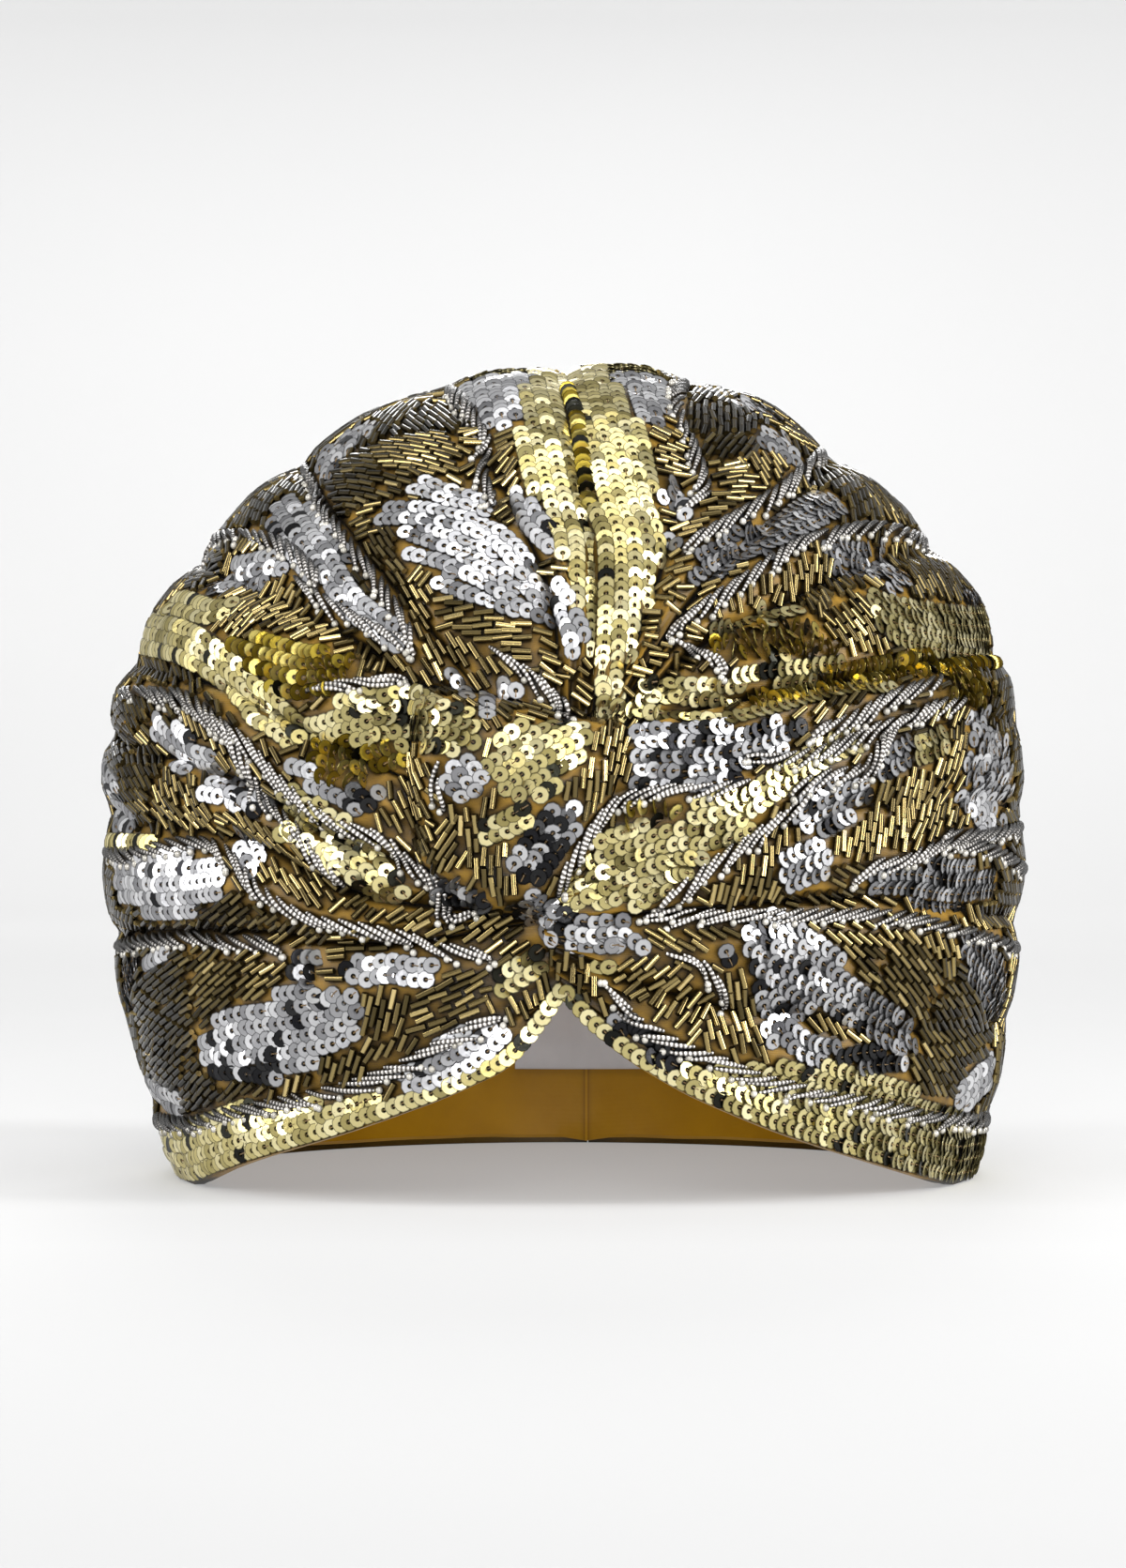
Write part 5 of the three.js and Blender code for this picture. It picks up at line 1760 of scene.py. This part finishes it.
def bugle_piece(name, first, last):
    """Six-sided tubes between two ends, of the whole or the short length, turned by chance."""
    centre = (first + last) / 2
    along = unit(last - first)
    up = skin_normal(way_to(centre))
    side = unit(np.cross(up, along))
    up = np.cross(along, side)
    angle = around(BUGLE_SIDES) + dice.uniform(0, 1, (len(first), 1))
    circle = side[:, None] * np.cos(angle)[..., None] + up[:, None] * np.sin(angle)[..., None]
    whole = np.linalg.norm(last - first, axis=1) > (BUGLE_LENGTH + SHORT_LENGTH) / 2
    half = np.where(whole, BUGLE_LENGTH, SHORT_LENGTH)[:, None, None] / 2
    half = half * dice.uniform(0.93, 1.03, (len(first), 1, 1))
    rings = [centre[:, None] + along[:, None] * half * sign + circle * BUGLE_RADIUS for sign in (-1, 1)]
    faces = [ring_quads(2, BUGLE_SIDES)[:, TURNED], *end_faces(2, BUGLE_SIDES)]
    return repeat_bead(name, np.concatenate(rings, 1), faces, dice.random(len(first)), BUGLE_SHARP)


first_end, last_end = bugle_ends()
print("beads in patches:", len(first_end))

# %% [markdown]
# The patches leave gaps where two headings meet. A sewer fills them bead by bead. Here a round of
# beads is thrown at random, each headed as the nearest patch. Those that lie clear of all beads
# so far stay, unless a newcomer with a lower number is in their way. The first rounds throw whole
# beads, and the last ones short beads for what is still open.

# %% Filling the gaps
FILL_ROUNDS = 18
SHORT_ROUNDS = 7
SHORT_LENGTH = 2.9
FILL_TRIES = 20000
FILL_MOST = 900
FILL_BEND = 1.25
FILL_STRETCH = 0.3
FILL_SLANT = 0.09
LOWEST_THROW = -0.62
SIDE_BY_SIDE = 1.36
SAMPLE_SHARES = (0.06, 0.28, 0.5, 0.72, 0.94)


def bead_samples(first, last):
    """Five points along each bead, one row of points for each."""
    return np.stack([first * (1 - share) + last * share for share in SAMPLE_SHARES], 1)


def random_ways(count):
    """Directions spread evenly over the cap, half of them on the front alone. Their heights are
    even, because equal steps of height cut equal areas from a sphere."""
    height = dice.uniform(LOWEST_THROW, 1.0, count)
    on_front = dice.random(count) < 0.5
    turn = np.where(on_front, dice.uniform(-90, 90, count), dice.uniform(-180, 180, count))
    return direction(turn, np.degrees(np.arcsin(height)))


def thrown(length, seeds, taken_points):
    """Both ends of beads thrown at random, each headed as the patch whose seed is nearest."""
    way = random_ways(FILL_TRIES)
    way = way[on_cloth(way, BUGLE_EDGE_MARGIN)]
    middle = on_skin(way, BUGLE_LIFT)
    clear = nearest(middle, taken_points) > SIDE_BY_SIDE
    middle, way = middle[clear], way[clear]
    normal = skin_normal(way)
    along = SEED_ALONG[squares_apart(middle, seeds).argmin(1)]
    along = unit(along - normal * np.sum(along * normal, -1, keepdims=True))
    along = unit(along + np.cross(normal, along) * dice.normal(0, FILL_SLANT, (len(along), 1)))
    first = on_skin(way_to(middle - along * length / 2), BUGLE_LIFT)
    last = on_skin(way_to(middle + along * length / 2), BUGLE_LIFT)
    bend = np.linalg.norm(middle - (first + last) / 2, axis=1)
    error = np.abs(np.linalg.norm(last - first, axis=1) - length)
    good = (bend < FILL_BEND) & (error < FILL_STRETCH * length)
    for end in (first, last):
        good &= on_cloth(way_to(end), BUGLE_EDGE_MARGIN)
    return first[good], last[good]


def first_come(first, last):
    """Whether each newcomer has no other newcomer of a lower number beside it."""
    samples = bead_samples(first, last).reshape(-1, 3)
    count, shares = len(first), len(SAMPLE_SHARES)
    closest = squares_apart(samples, samples).reshape(count, shares, count, shares).min((1, 3))
    return ~np.tril(closest < SIDE_BY_SIDE ** 2, -1).any(1)


def fill_gaps(first, last):
    """More beads in the gaps, round by round: the whole ones first, then the short ones."""
    seeds = on_skin(SEED_WAY)
    for turn in range(FILL_ROUNDS):
        length = SHORT_LENGTH if turn >= FILL_ROUNDS - SHORT_ROUNDS else BUGLE_LENGTH
        taken_points = bead_samples(first, last).reshape(-1, 3)
        new_first, new_last = thrown(length, seeds, taken_points)
        good = clear_of_rest(new_first, new_last, SAMPLE_SHARES)
        for share in SAMPLE_SHARES:
            probe = new_first * (1 - share) + new_last * share
            good &= nearest(probe, taken_points) > SIDE_BY_SIDE
        new_first, new_last = new_first[good][:FILL_MOST], new_last[good][:FILL_MOST]
        stays = first_come(new_first, new_last)
        first = np.concatenate([first, new_first[stays]])
        last = np.concatenate([last, new_last[stays]])
    return first, last


first_end, last_end = fill_gaps(first_end, last_end)
is_front = way_to(first_end)[:, 1] < FRONT_LIMIT
bugles = {
    "front": bugle_piece("bugle_beads_front", first_end[is_front], last_end[is_front]),
    "back": bugle_piece("bugle_beads_back", first_end[~is_front], last_end[~is_front]),
}

# %% [markdown]
# ## Bead finishes
# Each bead carries one random number, its tone. A colour ramp turns it into the finish: a painted
# dark reflection on a few discs at the low end, the plain colour in the middle and a painted
# reflection of discs on edge at the high end, deep amber on gold. Discs get painted shade round
# their rims and holes. The bugle beads are glass with a metal lining: painted shade darkens them at
# the sides, where they turn away from the eye, so that they are bright along the middle. The coil
# is bare wire, whose turns are ripples along its run, with a painted highlight on each turn and
# painted shade between the turns.

# %% Bead materials


def bead_finish(name, stops, metallic, roughness, grain=0.0, painted_rim_shade=None, painted_side_shade=None):
    """Shader whose colour is read from the tone of each bead. Painted rim shade darkens it towards
    the rim and the hole of a disc, and painted side shade where it turns away from the eye."""
    material, tree, shader = new_material(name)
    tone = node(tree, "ShaderNodeAttribute", attribute_name="tone")
    colour = colour_ramp(tree, tone.outputs["Fac"], stops)
    # Painted shade at the rim and the hole of a disc.
    if painted_rim_shade:
        edge = node(tree, "ShaderNodeAttribute", attribute_name="edge")
        colour = darkened(tree, colour, edge.outputs["Fac"], painted_rim_shade)
    # Painted shade at the sides, where the bead turns away from the eye.
    if painted_side_shade:
        turned = node(tree, "ShaderNodeLayerWeight", Blend=0.5)
        colour = darkened(tree, colour, turned.outputs["Facing"], painted_side_shade)
    tree.links.new(colour, shader.inputs["Base Color"])
    shader.inputs["Metallic"].default_value = metallic
    shader.inputs["Roughness"].default_value = roughness
    if grain:
        spots = node(tree, "ShaderNodeTexNoise", Scale=900.0, Detail=2.0)
        tree.links.new(node(tree, "ShaderNodeTexCoord").outputs["Object"], spots.inputs["Vector"])
        bump = node(tree, "ShaderNodeBump", Strength=grain, Distance=0.0002)
        tree.links.new(spots.outputs["Fac"], bump.inputs["Height"])
        tree.links.new(bump.outputs["Normal"], shader.inputs["Normal"])
    return material


# Painted shade round the rim and the hole of each disc, and at the sides of tubes and pearls.
DISC_PAINTED_RIM_SHADE = [(0.0, 0.35), (0.1, 1.0), (0.82, 1.0), (0.93, 0.3), (1.0, 0.2)]
TUBE_PAINTED_SIDE_SHADE = [(0.08, 1.0), (0.38, 0.55), (0.62, 0.06)]
PEARL_PAINTED_SIDE_SHADE = [(0.1, 1.0), (0.7, 0.25)]
PEARL_COAT = 0.4
GRAIN = 0.25
# Gold tones from 0.86 up are the painted reflection of discs on edge; the lowest are the painted dark
# reflection.
gold_finish = bead_finish("gold_sequin", [
    (0.0, (0.012, 0.012, 0.010)), (0.07, (0.03, 0.03, 0.02)), (0.12, (0.30, 0.25, 0.09)),
    (0.45, (0.58, 0.50, 0.22)), (0.8, (0.84, 0.76, 0.44)), (0.86, (0.24, 0.17, 0.015)),
    (0.93, (0.60, 0.45, 0.06)), (1.0, (0.92, 0.78, 0.25))
], metallic=0.9, roughness=0.28, grain=GRAIN, painted_rim_shade=DISC_PAINTED_RIM_SHADE)
# Silver tones from 0.86 up are the painted reflection of discs on edge; the lowest are the painted dark
# reflection.
silver_finish = bead_finish("silver_sequin", [
    (0.0, (0.012, 0.012, 0.014)), (0.07, (0.03, 0.03, 0.03)), (0.12, (0.22, 0.22, 0.23)),
    (0.45, (0.42, 0.42, 0.43)), (0.8, (0.71, 0.71, 0.72)), (0.86, (0.10, 0.10, 0.11)),
    (1.0, (0.5, 0.5, 0.5))
], metallic=0.88, roughness=0.3, grain=GRAIN, painted_rim_shade=DISC_PAINTED_RIM_SHADE)
bugle_finish = bead_finish("bugle_glass", [
    (0.0, (0.075, 0.056, 0.020)), (0.5, (0.24, 0.18, 0.070)), (0.85, (0.39, 0.30, 0.12)),
    (1.0, (0.72, 0.56, 0.25))
], metallic=0.85, roughness=0.2, painted_side_shade=TUBE_PAINTED_SIDE_SHADE)
pearl_finish = bead_finish("seed_pearl", [
    (0.0, (0.38, 0.36, 0.31)), (1.0, (0.62, 0.59, 0.53))
], metallic=0.2, roughness=0.25, painted_side_shade=PEARL_PAINTED_SIDE_SHADE)
pearl_finish.node_tree.nodes["Principled BSDF"].inputs["Coat Weight"].default_value = PEARL_COAT
stitch_finish = bead_finish("sewing_thread", [
    (0.0, (0.10, 0.06, 0.02)), (1.0, (0.20, 0.12, 0.04))
], metallic=0.0, roughness=0.7)
print("finishes of discs, tubes, pearls and threads")

# %% Coiled wire
TURNS_PER_MM = 1.0
# Painted highlight on each turn of the coil and painted shade between the turns.
WIRE_PAINTED_LIGHT_AND_SHADE = [(0.0, (0.07, 0.063, 0.056)), (0.45, (0.42, 0.39, 0.36)), (1.0, (0.92, 0.89, 0.85))]


def wire_finish():
    """Bright wire whose bump ripples with sin(2 pi turns * run), and whose colour ripples with it:
    a painted highlight on each turn and painted shade between the turns.
    """
    material, tree, shader = new_material("coiled_wire")
    run = node(tree, "ShaderNodeAttribute", attribute_name="run")
    scaled = node(tree, "ShaderNodeMath", operation="MULTIPLY")
    scaled.inputs[1].default_value = 2 * np.pi * TURNS_PER_MM
    wave = node(tree, "ShaderNodeMath", operation="SINE")
    half = node(tree, "ShaderNodeMath", operation="MULTIPLY_ADD")
    half.inputs[1].default_value = 0.5
    half.inputs[2].default_value = 0.5
    tree.links.new(run.outputs["Fac"], scaled.inputs[0])
    tree.links.new(scaled.outputs[0], wave.inputs[0])
    tree.links.new(wave.outputs[0], half.inputs[0])
    colour = colour_ramp(tree, half.outputs[0], WIRE_PAINTED_LIGHT_AND_SHADE)
    # Painted shade at the sides of the wire, where it turns away from the eye.
    turned = node(tree, "ShaderNodeLayerWeight", Blend=0.5)
    colour = darkened(tree, colour, turned.outputs["Facing"], TUBE_PAINTED_SIDE_SHADE)
    tree.links.new(colour, shader.inputs["Base Color"])
    bump = node(tree, "ShaderNodeBump", Strength=0.8, Distance=0.0003)
    tree.links.new(half.outputs[0], bump.inputs["Height"])
    tree.links.new(bump.outputs["Normal"], shader.inputs["Normal"])
    shader.inputs["Metallic"].default_value = 0.7
    shader.inputs["Roughness"].default_value = 0.38
    return material


finishes = [(vine_coils, wire_finish()), (vine_pearls, pearl_finish)]
finishes += [(piece, bugle_finish) for piece in bugles.values()]
finishes += [(piece, gold_finish if key[0] == "gold" else silver_finish) for key, piece in sequins.items()]
finishes += [(piece, stitch_finish) for piece in stitches.values()]
for piece, finish in finishes:
    piece.data.materials.append(finish)
    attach(piece, "root")
print("bead pieces:", len(finishes))

# %% [markdown]
# ## Room and light
# A pale sweep runs from the floor up behind the turban. It glows a little, more in some places than
# in others, so that it looks even although the lights reach it unevenly. Soft lights stand above,
# behind, in front, at both sides and low before the brow, and a small one lights the lining. The
# room is a pattern of pale and dark patches, which gives the metal its contrast.

# %% Pale sweep
SWEEP_HALF_WIDTH = 3000.0
SWEEP_FRONT = -2600.0
SWEEP_BEND = 1500.0
SWEEP_RADIUS = 900.0
SWEEP_TOP = 3200.0
SWEEP_SHARP = 40
PAPER_GREYS = [(0.3, 0.34), (0.7, 0.35)]
GLOW_REACH = (-0.7, 1.5)
FLOOR_GLOW = [(0.0, 0.11), (0.23, 0.31), (0.75, 0.17), (1.0, 0.14)]
WALL_REACH = (0.0, 0.45)
WALL_GLOW = 0.27


def pale_sweep():
    """Floor, a quarter circle and a wall, carried sideways as one sheet."""
    angle = np.linspace(0, np.pi / 2, 24)
    bend_y = SWEEP_BEND + SWEEP_RADIUS * np.sin(angle)
    bend_z = SWEEP_RADIUS * (1 - np.cos(angle))
    y = np.concatenate([[SWEEP_FRONT], bend_y, [bend_y[-1]]])
    z = np.concatenate([[0.0], bend_z, [SWEEP_TOP]])
    x = np.array([-SWEEP_HALF_WIDTH, SWEEP_HALF_WIDTH])
    points = np.stack(np.broadcast_arrays(x[None, :], y[:, None], z[:, None]), -1)
    index = np.arange(points.shape[0] * 2).reshape(-1, 2)
    faces = np.stack([index[:-1, 0], index[:-1, 1], index[1:, 1], index[1:, 0]], -1)
    return new_piece("pale_sweep", points, faces.tolist(), SWEEP_SHARP)


sweep = pale_sweep()
sweep_paint, sweep_tree, sweep_shader = new_material("pale_paper")
grain = node(sweep_tree, "ShaderNodeTexNoise", Scale=3.0, Detail=2.0)
sweep_tree.links.new(node(sweep_tree, "ShaderNodeTexCoord").outputs["Object"], grain.inputs["Vector"])
paper = colour_ramp(sweep_tree, grain.outputs["Fac"], greys(PAPER_GREYS))
sweep_tree.links.new(paper, sweep_shader.inputs["Base Color"])
sweep_shader.inputs["Roughness"].default_value = 0.9
spot = node(sweep_tree, "ShaderNodeSeparateXYZ")
sweep_tree.links.new(node(sweep_tree, "ShaderNodeTexCoord").outputs["Object"], spot.inputs["Vector"])
glow = node(sweep_tree, "ShaderNodeMath", operation="ADD")
for number, axis, start, end, most in ((0, "Y", *GLOW_REACH, 1.0), (1, "Z", *WALL_REACH, WALL_GLOW)):
    part = node(sweep_tree, "ShaderNodeMapRange")
    for socket, value in (("From Min", start), ("From Max", end), ("To Max", most)):
        part.inputs[socket].default_value = value
    sweep_tree.links.new(spot.outputs[axis], part.inputs["Value"])
    share = part.outputs["Result"]
    if axis == "Y":
        share = colour_ramp(sweep_tree, share, greys(FLOOR_GLOW))
    sweep_tree.links.new(share, glow.inputs[number])
sweep_tree.links.new(glow.outputs[0], sweep_shader.inputs["Emission Color"])
sweep_shader.inputs["Emission Strength"].default_value = 1.0
sweep.data.materials.append(sweep_paint)
print("sweep", len(sweep.data.polygons), "faces")

# %% Lights


def soft_light(name, at, width, height, power, aim=LOOK_AT):
    """Area light at one place that looks at another, in millimetres."""
    data = bpy.data.lights.new(name, "AREA")
    data.shape = "RECTANGLE"
    data.size = width
    data.size_y = height
    data.energy = power
    lamp = bpy.data.objects.new(name, data)
    at = Vector(at)
    lamp.location = at * MM
    lamp.rotation_euler = (Vector(aim) - at).to_track_quat("-Z", "Y").to_euler()
    scene.collection.objects.link(lamp)


SOFT_LIGHTS = {
    "top_light": ((0, -500, 2000), 1.4, 1.0, 15),
    "back_light": ((0, 2000, 1050), 0.9, 0.5, 22),
    "front_light": ((-100, -1900, 800), 0.7, 0.7, 21),
    "left_light": ((-1700, -500, 700), 0.5, 1.4, 21),
    "right_light": ((1700, -500, 700), 0.5, 1.4, 44),
    "low_light": ((150, -1800, 90), 0.8, 0.16, 8),
    "inner_light": ((0, -20, 125), 0.05, 0.05, 0.045, (0, 60, 20)),
}
for name, setting in SOFT_LIGHTS.items():
    soft_light(name, *setting)
print("soft lights:", len(SOFT_LIGHTS))

# %% Room of pale and dark patches
ROOM_GREYS = [(0.46, 0.02), (0.54, 1.0)]
ROOM_STRENGTH = 0.75
world = bpy.data.worlds.new("studio")
world.use_nodes = True
world_tree = world.node_tree
panels = node(world_tree, "ShaderNodeTexNoise", Scale=2.3, Detail=1.0)
world_tree.links.new(node(world_tree, "ShaderNodeTexCoord").outputs["Generated"], panels.inputs["Vector"])
pale_or_dark = colour_ramp(world_tree, panels.outputs["Fac"], greys(ROOM_GREYS))
background = world_tree.nodes["Background"]
world_tree.links.new(pale_or_dark, background.inputs["Color"])
background.inputs["Strength"].default_value = ROOM_STRENGTH
scene.world = world
scene.view_settings.view_transform = "Standard"
print("room strength:", ROOM_STRENGTH)
